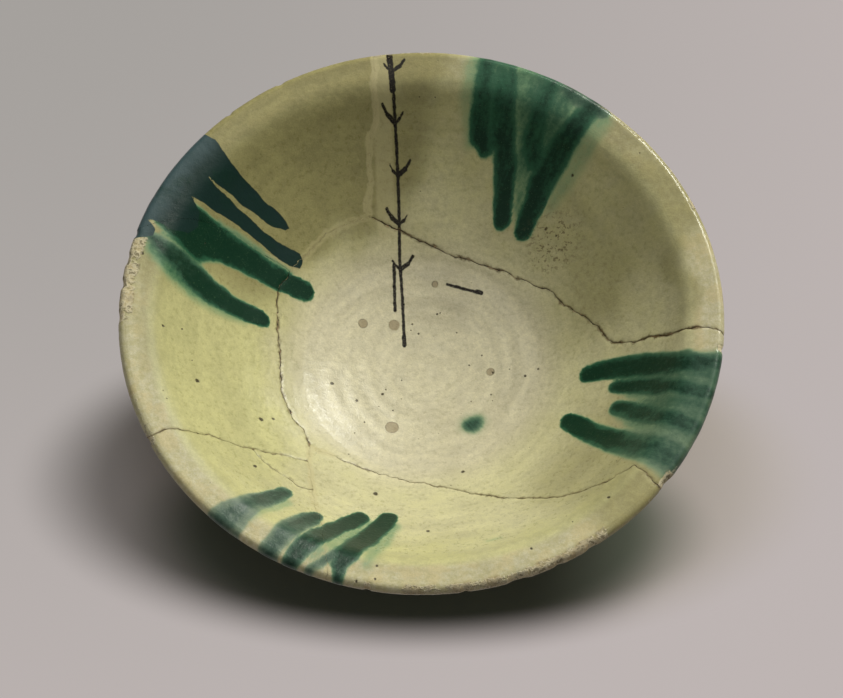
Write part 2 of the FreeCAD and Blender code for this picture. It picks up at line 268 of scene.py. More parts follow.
# Stretches of worn lip: (angle in degrees, half its reach, how bare, width)
WORN_PLACES = [
    (171, 15, 0.82, 7.5), (-62, 14, 0.66, 4.4), (-80, 20, 0.56, 4), (-38, 3, 0.6, 3), (206, 12, 0.5, 3.5),
    (36, 24, 0.6, 2.4), (96, 12, 0.58, 2.2), (115, 10, 0.46, 2),
]

# Chips in the lip's edge: (angle in degrees, half its reach, depth)
NOTCHES = [
    (-38, 1.8, 0.5), (-57, 1.6, 0.5), (-64, 1.2, 0.45), (-72, 2.6, 0.55), (-82, 1, 0.3), (163, 1.2, 0.4),
    (168.5, 1.8, 0.45), (174, 1.4, 0.6), (181, 1.6, 0.3), (119, 0.9, 0.3), (131, 0.7, 0.3), (208, 1, 0.35),
    (-8, 0.9, 0.4), (-100, 0.8, 0.4),
]

# Drips of the glaze's lower edge: (angle, half its reach, length), with the angles in radians
DRIPS = [(0.7, 0.055, 3), (2.5, 0.07, 3.6), (3.6, 0.05, 2.6), (5.3, 0.08, 3.8), (4.4, 0.05, 2.2)]

# The brushed dark lines on the inside, as (half width, points of the line): the stem, then its two thicker
# ends, a second line and a dash with its thicker end. Last, the pale strip of filler beside them
STEM = (0.56, [(-11, 101.5), (-9.8, 88), (-8.6, 72), (-7.9, 56), (-7.7, 42), (-6.6, 26), (-6, 10.4)])
BRUSHED = [
    (1.05, [(-11.2, 99.5), (-10.6, 94), (-10, 88)]),
    (0.75, [(-6.2, 14), (-6, 10.8)]),
    (0.54, [(-9.7, 39.6), (-9.3, 23.4)]),
    (0.5, [(9, 32.6), (20.8, 28.9)]),
    (0.8, [(19.4, 29.5), (20.9, 28.9)]),
]
PALE_STRIP = (3.2, [(-14.2, 102), (-13.4, 76), (-12.4, 50)])
LEAF_SPACING = 14.0
LEAF_LENGTH = 5.6
LEAF_WIDTH = 1.5

# The photograph's camera: distance to the rim's middle, height above the horizon, and the lens
CAMERA_DISTANCE = 1100.0
CAMERA_ELEVATION = math.radians(63.0)
CAMERA_DROP = math.radians(0.674)
CAMERA_LENS = 140.1

# The floor is darkest at the far left and palest beyond the second reach: a painted fall of the light across
# the board
FAR_LEFT = (-160.0, 190.0, 0.0)
FLOOR_REACH = (20.0, 430.0)

# Where the floor keeps the bowl's shadow, and where a painted shadow darkens its colour under and before the
# bowl:
# the middle of an oval, how it is squeezed, and from which distance to which it fades. Round the foot the
# shadow is kept in any case
SHADOW_PLACE = (0, -36, 0)
SHADOW_SHAPE = (1, 2.15, 1)
SHADOW_REACH = (107, 144.5)
FOOT_SHADOW = 60
PAINTED_SHADOW_PLACE = (-1, -55, 0)
PAINTED_SHADOW_SHAPE = (1, 2.3, 1)
PAINTED_SHADOW_REACH = (71, 105.5)


class BowlSizes(PropertyGroup):
    """Sizes of the looks that can be changed without moving any piece."""

    glaze_mesh: FloatProperty(
        name="Glaze mesh", description="Spacing of the glaze's points, in millimetres",
        default=0.86, min=0.5, max=4.0)
    clay_mesh: FloatProperty(
        name="Clay mesh", description="Spacing of the clay's points, in millimetres",
        default=1.8, min=0.8, max=6.0)
    glaze_thickness: FloatProperty(
        name="Glaze thickness", description="Mean thickness of the coat, in millimetres",
        default=0.36, min=0.1, max=0.45)
    ring_height: FloatProperty(
        name="Throwing rings", description="Height of the throwing rings, in millimetres",
        default=0.045, min=0.0, max=0.3)
    rim_wander: FloatProperty(
        name="Rim wander", description="How far the rim leaves its circle, in millimetres",
        default=0.3, min=0.0, max=1.0)
    key_strength: FloatProperty(
        name="Key light", description="Power of the large soft light", default=17.0, min=0.0, unit="POWER")
    top_strength: FloatProperty(
        name="Top light", description="Power of the overhead light", default=4.8, min=0.0, unit="POWER")
    sky_strength: FloatProperty(
        name="Sky", description="Strength of the even light all round", default=0.20, min=0.0)


class BowlColours(PropertyGroup):
    """Colours of the finishes, as sRGB hex values."""

    cream: StringProperty(name="Cream glaze", description="Opaque glaze on the wall", default="#cec89e")
    yellow: StringProperty(name="Yellow glaze", description="Glaze with an iron tint", default="#c3bf88")
    # The two olive tones are painted shade, laid where the lamps leave the walls and the lip too light
    painted_shade_olive: StringProperty(name="Olive glaze", description="Stained glaze on the far wall", default="#908a5c")
    painted_shade_lip: StringProperty(name="Olive lip", description="Stained far lip", default="#968e5c")
    well: StringProperty(name="Well glaze", description="Cream glaze of the well", default="#d3cbaa")
    ash: StringProperty(name="Ash", description="Greyed, rubbed glaze", default="#c2bb9f")
    lip: StringProperty(name="Lip glaze", description="Pale worn glaze on the lip", default="#beb58a")
    pale: StringProperty(name="Pale", description="Bare slip and wiped lines", default="#ddd5b8")
    dirt: StringProperty(name="Dirt", description="Old dirt in the glaze", default="#6f6443")
    pit: StringProperty(name="Pit", description="Dark of the pinholes", default="#33291a")
    scar: StringProperty(name="Scar", description="Brown kiln scars", default="#83704f")
    stain_and_shade: StringProperty(name="Stain", description="Brown beside the open breaks", default="#5c4b2e")
    filler: StringProperty(name="Filler", description="Toned filler of the closed breaks", default="#bdb387")
    green: StringProperty(name="Green", description="Copper green where it is deep", default="#09301f")
    green_mid: StringProperty(name="Middle green", description="Green of middle depth", default="#28593f")
    green_thin: StringProperty(name="Thin green", description="Green where it has spread", default="#71946c")
    slate: StringProperty(name="Slate", description="Greyed green of thin splashes", default="#445a4d")
    slate_thin: StringProperty(name="Thin slate", description="Thinnest greyed green", default="#7d8a72")
    paint: StringProperty(name="Paint", description="The restorer's blue-black green", default="#172f2b")
    paint_rim: StringProperty(name="Paint at the rim", description="Greyer paint", default="#3f5355")
    line: StringProperty(name="Line", description="Dark brown brushed line", default="#16110d")
    bare: StringProperty(name="Bare clay", description="Bare clay on the worn lip", default="#bfae84")
    clay: StringProperty(name="Clay", description="Buff earthenware", default="#b89b76")
    plaster: StringProperty(name="Plaster", description="Gypsum plaster of the fill", default="#d8d0bf")
    resin: StringProperty(name="Resin", description="Aged glue in the breaks", default="#2c2115")
    floor: StringProperty(name="Floor", description="Pale floor, near and right", default="#beb5b3")
    # A painted shadow: the floor's colour where the bowl covers it and just before it
    floor_painted_shadow: StringProperty(
        name="Floor under the bowl", description="Floor where the bowl covers it", default="#646a5f")
    floor_far: StringProperty(name="Far floor", description="Pale floor, far and left", default="#a5a19d")


# Surfaces of the section


def wave_noise(x, y, period, seed, count=14):
    """Smooth noise from -1 to 1: a sum of sine waves in random directions, with lengths about period."""
    pick = np.random.default_rng(seed)
    total = np.zeros_like(x)
    for turn, stretch, phase in zip(pick.uniform(0, math.tau, count), pick.uniform(0.6, 1.7, count),
                                    pick.uniform(0, math.tau, count)):
        pitch = math.tau / (period * stretch)
        total += np.sin(pitch * (x * math.cos(turn) + y * math.sin(turn)) + phase)
    return total / math.sqrt(count * 2.2)


def ease(low, high, value):
    """0 below low, 1 above high and the smooth cubic step 3t^2 - 2t^3 between them."""
    t = np.clip((value - low) / (high - low), 0.0, 1.0)
    return t * t * (3.0 - 2.0 * t)


def near(angle, place, reach, flat=0.25, turn=360):
    """1 within a flat share of a reach to both sides of a place round the bowl, easing to 0 at the reach."""
    away = np.abs((angle - place + turn / 2) % turn - turn / 2)
    return 1 - ease(flat * reach, reach, away)


def lengths(line):
    """The length along a line of points up to each of them."""
    return np.concatenate([[0], np.cumsum(np.hypot(*np.diff(line, axis=0).T))])


def arc_line(start, end, bow, count=160):
    """Points along an arc from start to end that stands bow to the right of the straight line.

    The arc's radius is (c^2 + b^2) / 2b, with c half the chord and b the bow, and its points are evenly
    turned about its centre."""
    start, end = np.array(start, float), np.array(end, float)
    chord = end - start
    length = np.hypot(*chord)
    along = chord / length
    across = np.array([along[1], -along[0]])
    if abs(bow) < 1e-6:
        return start + chord * np.linspace(0, 1, count)[:, None]
    radius = ((length / 2) ** 2 + bow ** 2) / (2 * bow)
    centre = (start + end) / 2 + across * (bow - radius)
    reach = math.atan2(length / 2, radius - bow) if radius > 0 else -math.atan2(length / 2, bow - radius)
    turn = np.linspace(-reach, reach, count)[:, None]
    return centre + radius * (across * np.cos(turn) + along * np.sin(turn))


def tangent_bow(start, direction, end):
    """The bow of the arc that leaves start along direction and comes to end: -c tan(a / 2), with c half the
    chord and a the turn from direction to the chord."""
    chord = np.subtract(end, start)
    length = np.hypot(*chord)
    along = np.array(direction, float) / np.hypot(*direction)
    turn = math.atan2(chord[0] * along[1] - chord[1] * along[0], float(chord @ along))
    return -length / 2 * math.tan(turn / 2)


def last_way(line):
    """The direction in which a line of points ends."""
    way = line[-1] - line[-2]
    return way / np.hypot(*way)


def section():
    """The clay's section as two lines of (radius, height): the inside from the middle to the edge of the
    lip, and the outside from there to the middle of the base. Each is arcs that follow each other."""
    clay_rim, clay_top = RIM_RADIUS - GLAZE, OVERALL_HEIGHT - GLAZE
    floor_middle = np.array([0, FOOT_HEIGHT + FLOOR_THICKNESS])
    roll = np.array([clay_rim - LIP_ROLL, clay_top - LIP_ROLL])
    lip_start = np.array([RIM_RADIUS - LIP_WIDTH, clay_top - LIP_RISE])
    fold_start = lip_start - FOLD
    well_edge = floor_middle + (WELL_RADIUS, WELL_RISE)
    floor_line = arc_line(floor_middle, well_edge, tangent_bow(floor_middle, (1, 0), well_edge))
    wall_line = arc_line(well_edge, fold_start, WALL_BOW)
    fold_line = arc_line(fold_start, lip_start, tangent_bow(fold_start, last_way(wall_line), lip_start))
    roll_top, roll_side, roll_under = roll + (0, LIP_ROLL), roll + (LIP_ROLL, 0), roll - (0, LIP_ROLL)
    lip_line = arc_line(lip_start, roll_top, tangent_bow(lip_start, last_way(fold_line), roll_top))
    roll_out = arc_line(roll_top, roll_side, tangent_bow(roll_top, (1, 0), roll_side))
    inside = softened(np.vstack([floor_line, wall_line[1:], fold_line[1:], lip_line[1:], roll_out[1:]]))
    low_x, low_y = last_way(wall_line[:2])
    high_x, high_y = last_way(wall_line)
    wall_low = well_edge + np.array([low_y, -low_x]) * WALL_FOOT_THICKNESS
    wall_high = fold_start + np.array([high_y, -high_x]) * WALL_THICKNESS
    roll_in = arc_line(roll_side, roll_under, tangent_bow(roll_side, (0, -1), roll_under))
    under_lip = arc_line(roll_under, wall_high, tangent_bow(roll_under, (-1, 0), wall_high))
    base = [wall_low, (FOOT_TOP_RADIUS, FOOT_TOP), (FOOT_BORE, FOOT_HEIGHT), (0, FOOT_HEIGHT)]
    outside = np.vstack([roll_in, under_lip[1:], arc_line(wall_high, wall_low, -WALL_BOW)[1:]]
                        + [arc_line(start, end, 0)[1:] for start, end in zip(base, base[1:])])
    return inside, outside


def softened(line, step=0.2, blur=2.6, reach=38):
    """A line of points drawn again at even steps and averaged with bell-shaped weights round the fold of the
    lip, where the wheel and the glaze leave no crisp bend."""
    along = lengths(line)
    even = np.arange(0, along[-1], step)
    fine = np.stack([np.interp(even, along, values) for values in line.T], 1)
    weight = np.exp(-0.5 * (np.arange(-reach, reach + 1) * step / blur) ** 2)
    padded = np.pad(fine, ((reach, reach), (0, 0)), mode="edge")
    mean = np.stack([np.convolve(values, weight / weight.sum(), "valid") for values in padded.T], 1)
    part = (ease(76, 84, fine[:, 0]) * (1 - ease(94.5, 97.5, fine[:, 0])))[:, None]
    return np.vstack([fine + (mean - fine) * part, line[-1:]])


def facing(line):
    """The direction square to a line of points at each of them, to its left."""
    way = np.gradient(line, axis=0)
    way /= np.hypot(way[:, 0], way[:, 1])[:, None]
    return np.stack([-way[:, 1], way[:, 0]], 1)


# Each side of the clay as its line and its facing
INSIDE, OUTSIDE = [(line, facing(line)) for line in section()]
EDGE_RADIUS = INSIDE[0][-1, 0]


def wander(x, y):
    """How far the hand-made lip leaves its circle and its plane: (outwards, upwards), both nought or less.

    Each is a slow wave round the bowl, faded in from the wall's middle to the lip, with a few short
    notches where the edge is chipped."""
    amount = bpy.context.scene.bowl_sizes.rim_wander
    radius, turn = np.hypot(x, y), np.arctan2(y, x)
    angle = np.degrees(turn)
    fade = ease(0.55 * EDGE_RADIUS, EDGE_RADIUS, radius) * amount
    slow = 0.5 + 0.25 * np.sin(np.radians(2 * angle + 20)) + 0.25 * np.sin(np.radians(3 * angle + 115))
    small = 0.5 + 0.5 * wave_noise(np.cos(turn) * 40, np.sin(turn) * 40, 9.0, 5)
    out = -fade * (0.8 * slow + 0.2 * np.clip(small, 0, 1))
    up = -fade * (0.35 + 0.35 * np.sin(np.radians(2 * angle + 70)))
    for place, reach, depth in NOTCHES:
        chip = ease(EDGE_RADIUS - 3.0, EDGE_RADIUS, radius) * depth * near(angle, place, reach)
        out, up = out - chip, up - 0.5 * chip
    return out, up


def raised(x, y, side, amount):
    """Points over (x, y) on a side of the clay, amount off it: the section's height and facing at each
    radius, turned about the axis, with the lip's wander added."""
    radius = np.hypot(x, y)
    line, way = (values[np.argsort(side[0][:, 0])] for values in side)
    height, out, up = (np.interp(radius, line[:, 0], values) for values in (line[:, 1], *way.T))
    long = np.hypot(out, up)
    move_out, move_up = wander(x, y)
    push = (out / long * amount + move_out) / np.where(radius > 1e-6, radius, 1.0)
    return np.stack([x + x * push, y + y * push, height + up / long * amount + move_up], 1)


# Plan of the breaks


def ragged(x, y):
    """A place moved by the small jags of a fracture, so that lines drawn straight come out rough."""
    return [value + sum(reach * wave_noise(x, y, length, seed + count)
                        for count, (reach, length) in enumerate(JAGS)) for value, seed in ((x, 21), (y, 23))]


def break_line(name):
    """A break's line in millimetres, turned round if its name has a minus."""
    line = np.array(BREAKS[name.lstrip("-")]) * RIM_RADIUS
    return line[::-1] if name.startswith("-") else line


def piece_outline(steps):
    """The outline in plan of one piece: its breaks in order, with an arc outside the rim between two."""
    runs = [None if step == "rim" else break_line(step) for step in steps]
    place = steps.index("rim") if "rim" in steps else None
    if place is not None:
        start = math.atan2(*runs[place - 1][-1][::-1])
        end = math.atan2(*runs[(place + 1) % len(runs)][0][::-1])
        angle = start + ((end - start + math.pi) % math.tau - math.pi) * np.linspace(0, 1, 12)
        runs[place] = np.stack([np.cos(angle), np.sin(angle)], 1) * RIM_RADIUS * 1.5
    return np.vstack(runs)


def within(x, y, outline):
    """Whether each place is inside an outline: a ray along +X crosses it an odd number of times."""
    found = np.zeros(x.shape, bool)
    for (x0, y0), (x1, y1) in zip(outline, np.roll(outline, -1, axis=0)):
        if y0 == y1:
            continue
        cross = (y0 > y) != (y1 > y)
        found ^= cross & (x < (x1 - x0) * (y - y0) / (y1 - y0) + x0)
    return found


def run_distance(x, y, start, end):
    """The distance from each place to a straight run, and the share of the run that its foot lies at."""
    dx, dy = end[0] - start[0], end[1] - start[1]
    share = np.clip(((x - start[0]) * dx + (y - start[1]) * dy) / (dx * dx + dy * dy), 0, 1)
    return np.hypot(x - start[0] - share * dx, y - start[1] - share * dy), share


def line_distance(x, y, starts, ends):
    """The distance from each place to the nearest of several straight runs."""
    return np.min([run_distance(x, y, start, end)[0] for start, end in zip(starts, ends)], axis=0)


def nearest_break(x, y):
    """The distance from each place to the nearest break, and that break's half width and darkness there."""
    found = [np.full(x.shape, 1e9), np.zeros(x.shape), np.zeros(x.shape)]
    for name, (half, dark, filled) in BREAK_LOOKS.items():
        line = break_line(name)
        away = line_distance(x, y, line, line[1:])
        share = ease(0.3 * filled, filled, np.hypot(x - line[0, 0], y - line[0, 1])) if filled else 1.0
        closer = away < found[0]
        looks = (away, half * (0.25 + 0.75 * share), dark * share)
        found = [np.where(closer, new, old) for new, old in zip(looks, found)]
    return found


def gap_at(x, y, width):
    """Half the opening between two sherds: the break's half width, rough, and wider at chips."""
    chip = np.clip(wave_noise(x, y, 6.0, 31) - 0.55, 0, 1) * 0.5
    return width * (0.75 + 0.35 * wave_noise(x, y, 3.0, 32)) + chip * width


# Meshes


def disc_rings(spacing):
    """The radii of the rings of a disc mesh: evenly spaced along the inside of the section, and closer round
    the lip's edge."""
    line = INSIDE[0]
    along = lengths(line)
    edge = along[-1] - LIP_ROLL * math.pi / 2
    count = int(round(edge / spacing))
    tail = edge + (along[-1] - edge) * np.linspace(0, 1, max(3, int(4.0 / spacing) + 2))[1:]
    radii = np.interp(np.concatenate([np.linspace(0, edge, count + 1), tail]), along, line[:, 0])
    radii[-1] = EDGE_RADIUS
    return radii


def disc_mesh(radii):
    """A flat disc of near even triangles: ring k holds 6k points, and sector by sector each ring is joined
    to the next. Gives the points, with a height of 1 on the last ring, and the triangles, facing up."""
    points, faces = [np.zeros((1, 3))], []
    start_in, start_out = 0, 1
    sector = np.arange(6)[:, None]
    for ring, radius in enumerate(radii[1:], start=1):
        angle = np.arange(6 * ring) * math.tau / (6 * ring)
        last = np.full(6 * ring, float(ring == len(radii) - 1))
        points.append(np.stack([radius * np.cos(angle), radius * np.sin(angle), last], 1))
        size_in = max(6 * (ring - 1), 1)
        for count, corners in ((ring, (0, 2, 3)), (ring - 1, (0, 3, 1))):
            step = np.arange(count)[None, :]
            inner = [start_in + (sector * (ring - 1) + step + more) % size_in for more in (0, 1)]
            outer = [start_out + (sector * ring + step + more) % (6 * ring) for more in (0, 1)]
            faces.append(np.stack([(inner + outer)[corner] for corner in corners], -1).reshape(-1, 3))
        start_in, start_out = start_out, start_out + 6 * ring
    return np.vstack(points), np.concatenate(faces)


def unfolded(faces):
    """The triangles whose three corners are three points."""
    return faces[(faces != np.roll(faces, 1, axis=1)).all(1)]


def clipped(points, faces, value):
    """The part of a mesh where value is above nought. Value is taken as straight along each edge, and a
    point is put where it is nought. A triangle with one corner kept gives one, and with two gives two."""
    kept = (value > 0)[faces]
    count = kept.sum(1)
    cuts = []
    for wanted in (1, 2):
        part = faces[count == wanted]
        odd = np.argmax(kept[count == wanted] == (wanted == 1), axis=1)
        cuts.append(part[np.arange(len(part))[:, None], (odd[:, None] + np.arange(3)) % 3])
    pairs = np.sort(np.concatenate([cut[:, [0, other]] for cut in cuts for other in (1, 2)]), axis=1)
    (low, high), back = (part.T for part in np.unique(pairs, axis=0, return_inverse=True))
    new = points[low] + (points[high] - points[low]) * (value[low] / (value[low] - value[high]))[:, None]
    one, two = (len(cut) for cut in cuts)
    ab, ac, ab_two, ac_two = np.split(back.reshape(-1) + len(points), [one, 2 * one, 2 * one + two])
    a, (_, b, c) = cuts[0][:, 0], cuts[1].T
    made = [np.stack(corners, 1) for corners in ((a, ab, ac), (ab_two, b, c), (ab_two, c, ac_two))]
    used, back = np.unique(unfolded(np.vstack([faces[count == 3]] + made)), return_inverse=True)
    return np.vstack([points, new])[used], back.reshape(-1, 3)


def side_walls(plan, faces, top, bottom, fields):
    """The wall between the two skins of a plan mesh, two triangles to an edge, along each edge that only one
    triangle has and that isn't on the last ring."""
    edges = np.concatenate([faces[:, [0, 1]], faces[:, [1, 2]], faces[:, [2, 0]]])
    _, first, count = np.unique(np.sort(edges, axis=1), axis=0, return_index=True, return_counts=True)
    edges = edges[np.sort(first[count == 1])]
    i, j = edges[(plan[edges, 2] < 0.999).any(1)].T
    tris = np.vstack([np.stack([i, i + len(top), j + len(top)], 1), np.stack([i, j + len(top), j], 1)])
    return np.vstack([top, bottom]), tris, {key: np.tile(field, 2) for key, field in fields.items()}


def welded(parts):
    """Several meshes with like fields as one, where points that share a place, to a hundredth of a
    micrometre, are made one."""
    starts = np.cumsum([0] + [len(part[0]) for part in parts])
    points = np.vstack([part[0] for part in parts])
    faces = np.vstack([part[1] + start for part, start in zip(parts, starts)])
    place = np.round(points * 1e5).astype(np.int64)
    _, first, back = np.unique(place, axis=0, return_index=True, return_inverse=True)
    fields = {key: np.concatenate([part[2][key] for part in parts])[first] for key in parts[0][2]}
    return points[first], unfolded(back.reshape(-1)[faces]), fields


def make_object(node, suffix, mesh_data, material, sharp_degrees):
    """A mesh object that stands for a node of the frame, from points in millimetres, faces and fields:
    smooth, but for edges that turn by more than an angle, with a float attribute for each field."""
    points, faces, fields = mesh_data
    mesh = bpy.data.meshes.new(f"{node}_{suffix}")
    mesh.vertices.add(len(points))
    mesh.vertices.foreach_set("co", (points * MM).astype(np.float32).ravel())
    mesh.loops.add(faces.size)
    mesh.loops.foreach_set("vertex_index", faces.astype(np.int32).ravel())
    mesh.polygons.add(len(faces))
    mesh.polygons.foreach_set("loop_start", np.arange(0, faces.size, faces.shape[1], dtype=np.int32))
    for key, field in fields.items():
        mesh.attributes.new(key, "FLOAT", "POINT").data.foreach_set("value", field.astype(np.float32))
    mesh.update(calc_edges=True)
    mesh.validate()
    mesh.shade_smooth()
    mesh.set_sharp_from_angle(angle=math.radians(sharp_degrees))
    mesh.materials.append(material)
    piece = bpy.data.objects.new(mesh.name, mesh)
    bpy.context.scene.collection.objects.link(piece)
    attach(piece, "root")
    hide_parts(node)


# Fields of the glaze


def splash_fields(x, y):
    """The splashes at each place: how deep the green is from 0 to about 1, how slaty it is, and how far it
    is inside the restorer's paint in millimetres.

    A run is a chain of tapered rounds. Its depth rises where the distance to its middle line falls to its
    half width, over a way that its edge's softness sets, and some more towards its middle. The runs are put
    together as the fourth root of the sum of their fourth powers, so that they flow into each other."""
    x, y = [value + 0.30 * wave_noise(x, y, 7.0, seed) + 0.12 * wave_noise(x, y, 1.9, seed + 2)
            for value, seed in ((x, 71), (y, 72))]
    power, grey = np.zeros(x.shape), np.zeros(x.shape)
    for *looks, run in RUNS:
        line = np.array(run, float)
        step = lengths(line[:, :2])
        best, along = np.full(x.shape, -50.0), np.zeros(x.shape)
        for place, (start, end) in enumerate(zip(line, line[1:])):
            away, share = run_distance(x, y, start, end)
            found = start[2] + (end[2] - start[2]) * share - away
            here = (step[place] + share * (step[place + 1] - step[place])) / step[-1]
            along = np.where(found > best, here, along)
            best = np.maximum(best, found)
        soft, depth, slate = (
            at_rim + (at_tip - at_rim) * along for at_rim, at_tip in zip(looks[::2], looks[1::2]))
        middle = 0.66 + 0.34 * ease(0.0, 0.8, best / line[:, 2].mean())
        here = (depth * ease(-1.5, 1.2, best / soft) * middle) ** 4
        power += here
        grey += here * slate
    outline = np.array(PAINT, float)
    away = line_distance(x, y, outline, np.roll(outline, -1, axis=0))
    paint = np.where(within(x, y, outline), away, -away)
    return power ** 0.25, grey / np.maximum(power, 1e-9), np.maximum(paint, -9.0)


def patches(x, y, table):
    """The sum of soft patches, each (angle, half reach, from radius, to radius, amount): a patch fades out
    over its reach on both sides of its angle and fades in from the first radius to the second."""
    radius = np.hypot(x, y) + 3.0 * wave_noise(x, y, 26.0, 81)
    angle = np.degrees(np.arctan2(y, x)) + 5.0 * wave_noise(x, y, 30.0, 82)
    return sum(amount * near(angle, place, reach) * ease(low, high, radius)
               for place, reach, low, high, amount in table)


def worn_field(x, y, under):
    """How bare the lip is, from 0 to 1: most at its very edge and where the photograph shows it."""
    inwards = EDGE_RADIUS - np.hypot(x, y)
    angle = np.degrees(np.arctan2(y, x))
    stretches = [0.30 * (1 - ease(0.2, 2.6, inwards))]
    stretches += [amount * (1 - ease(0.35 * width, width, inwards)) * near(angle, place, reach, 0.5)
                  for place, reach, amount, width in WORN_PLACES]
    stretches += [(1 - ease(0.8, 2.4, inwards)) * near(angle, place, 1.2 * reach, 0.5)
                  for place, reach, _ in NOTCHES]
    return np.max(stretches, axis=0) * (0.6 if under else 1.0)


def stop_value(x, y):
    """How far outside the glaze's lower edge a place lies: a wavy ring round the foot, with a few drips."""
    angle = np.arctan2(y, x)
    ring = GLAZE_STOP + 1.4 * wave_noise(np.cos(angle) * 30, np.sin(angle) * 30, 14.0, 41)
    for place, reach, length in DRIPS:
        ring = ring - length * near(angle, place, reach, 0.2, math.tau)
    return np.hypot(x, y) - np.maximum(ring, GLAZE_STOP - 4.2)


def coat_thickness(x, y, crack, dark, copper, under):
    """The glaze's thickness at each place: a mean with slow pools and throwing rings, more where a splash
    lies, and less at a dark break's edge, on the worn lip and at the lower edge."""
    sizes = bpy.context.scene.bowl_sizes
    radius = np.hypot(x, y)
    swirl = radius + 0.8 * wave_noise(x, y, 40.0, 51)
    rings = np.sin(swirl * math.tau / 6.8) * (1 - ease(34, 44, radius))
    rings += 0.4 * np.sin(swirl * math.tau / 9.5 + 1.0) * ease(42, 52, radius) * (1 - ease(86, 92, radius))
    pools = 0.035 * wave_noise(x, y, 16.0, 52) + 0.015 * wave_noise(x, y, 5.0, 53)
    edge = 0.16 * (1 - ease(0.0, 0.55, crack)) * ease(0.1, 0.7, dark)
    rubbed = 0.20 * worn_field(x, y, under) * (0.7 + 0.3 * wave_noise(x, y, 2.2, 54))
    over = 0.12 * ease(0.1, 0.9, copper)
    thick = sizes.glaze_thickness + rings * sizes.ring_height + pools + over - edge - rubbed
    foot = ease(0.0, 2.0, stop_value(x, y)) if under else 1.0
    most = np.where(radius > EDGE_RADIUS - 14, GLAZE - 0.02, 0.75)
    return np.clip(thick * (0.45 + 0.55 * foot), 0.07, most)


def coat_skins(plan, under):
    """The face of a coat on one side of the bowl, its back on the clay, and its fields. A splash on the
    outside is the one that the inside has as far within the lip, run on over it."""
    x, y, _ = plan.T
    radius = np.hypot(x, y)
    crack, width, dark = nearest_break(*ragged(x, y))
    crack = crack - width
    beyond = (EDGE_RADIUS + (EDGE_RADIUS - radius) * 1.25) / np.maximum(radius, 1e-6) if under else 1.0
    copper, slate, paint = splash_fields(x * beyond, y * beyond)
    thick = coat_thickness(x, y, crack, dark, copper, under)
    if under:
        lip_thick = coat_thickness(x, y, crack, dark, copper, False)
        thick += (lip_thick - thick) * ease(EDGE_RADIUS - 1.0, EDGE_RADIUS, radius)
    side = OUTSIDE if under else INSIDE
    return raised(x, y, side, thick), raised(x, y, side, 0.0), {
        "copper": copper, "slate": slate, "paint": paint, "crack": crack, "dark": dark,
        "worn": worn_field(x, y, under), "under": np.full(x.shape, float(under)),
        # The first patches are painted shade of the inside, the second its yellower tint
        "stain_and_shade": patches(x, y, PAINTED_SHADE_PATCHES), "yellow": patches(x, y, YELLOWS),
    }


def coat_mesh(points, faces):
    """A closed coat of glaze: a face and a back inside the bowl and, from the lip to the coat's wavy lower
    edge, outside it, with a wall at every broken edge."""
    parts = []
    low = clipped(points, faces, stop_value(points[:, 0], points[:, 1]))
    for under, (plan, tris) in ((False, (points, faces)), (True, low)):
        *skins, fields = coat_skins(plan, under)
        top, bottom = skins[::-1] if under else skins
        parts += [(top, tris, fields), (bottom, tris[:, ::-1], fields),
                  side_walls(plan, tris, top, bottom, fields)]
    return welded(parts)


def body_mesh(points, faces):
    """A closed body of clay or plaster: its inside and outside skins, and the break's walls between them.
    The base under the bowl has the turning tool's rings."""
    x, y, _ = points.T
    base = 1 - ease(FOOT_BORE - 3.0, FOOT_BORE - 0.5, np.hypot(x, y))
    marks = base * 0.08 * (1 + np.sin(np.hypot(x + 0.6, y) * math.tau / 4.2))
    top, bottom = raised(x, y, INSIDE, -CLAY_SINK), raised(x, y, OUTSIDE, -CLAY_SINK - marks)
    walls = side_walls(points, faces, top, bottom, {})
    return welded([(top, faces, {}), (bottom, faces[:, ::-1], {}), walls])


def parted(spacing, widen):
    """The plan mesh of each piece: the disc clipped back from the breaks by half the gap."""
    points, faces = disc_mesh(disc_rings(spacing))
    x, y = ragged(points[:, 0], points[:, 1])
    crack, width, _ = nearest_break(x, y)
    gap = gap_at(points[:, 0], points[:, 1], width) + widen
    for name, steps in PIECES.items():
        mine = within(x, y, piece_outline(steps))
        close = np.zeros(len(points), bool)
        close[faces[mine[faces].any(1)].ravel()] = True
        yield name, clipped(points, faces[close[faces].all(1)], np.where(mine, crack - gap, -(crack + gap)))


def seam_mesh(name, half, dark):
    """The glue of one break: a band of four rails along the break's rough line, two on each side of it, at
    the inside and at the outside of the wall, closed at its ends."""
    line = break_line(name)
    step = lengths(line)
    at = np.linspace(0, step[-1], max(4, int(step[-1] / 0.6)))
    goal = np.stack([np.interp(at, step, values) for values in line.T], 1)
    place = goal.copy()
    for _ in range(12):
        place += 0.6 * (goal - np.stack(ragged(*place.T), 1))
    place = place[np.hypot(*place.T) < EDGE_RADIUS - 0.15]
    reach = facing(place) * (half * 1.45 + 0.03)
    level = (-0.10 if dark > 0.4 else 0.30) + 0.08 * wave_noise(*place.T, 3.0, 61)
    level = np.where(np.hypot(*place.T) > EDGE_RADIUS - 2.5, np.minimum(level, -0.05), level)
    rails = [raised(*(place + reach * way).T, side, height) for side, ways, height in (
        (INSIDE, (1, -1), level), (OUTSIDE, (-1, 1), np.minimum(level, 0.0) - 0.05)) for way in ways]
    turn, last = np.arange(4), 4 * len(place) - 4
    a, b = (np.arange(0, last, 4)[:, None] + corner for corner in (turn, (turn + 1) % 4))
    faces = [np.stack(corners, -1).reshape(-1, 3) for corners in ((a, b + 4, b), (a, a + 4, b + 4))]
    ends = [[0, 1, 2], [0, 2, 3], [last, last + 2, last + 1], [last, last + 3, last + 2]]
    return np.stack(rails, 1).reshape(-1, 3), np.vstack(faces + [ends]), {}


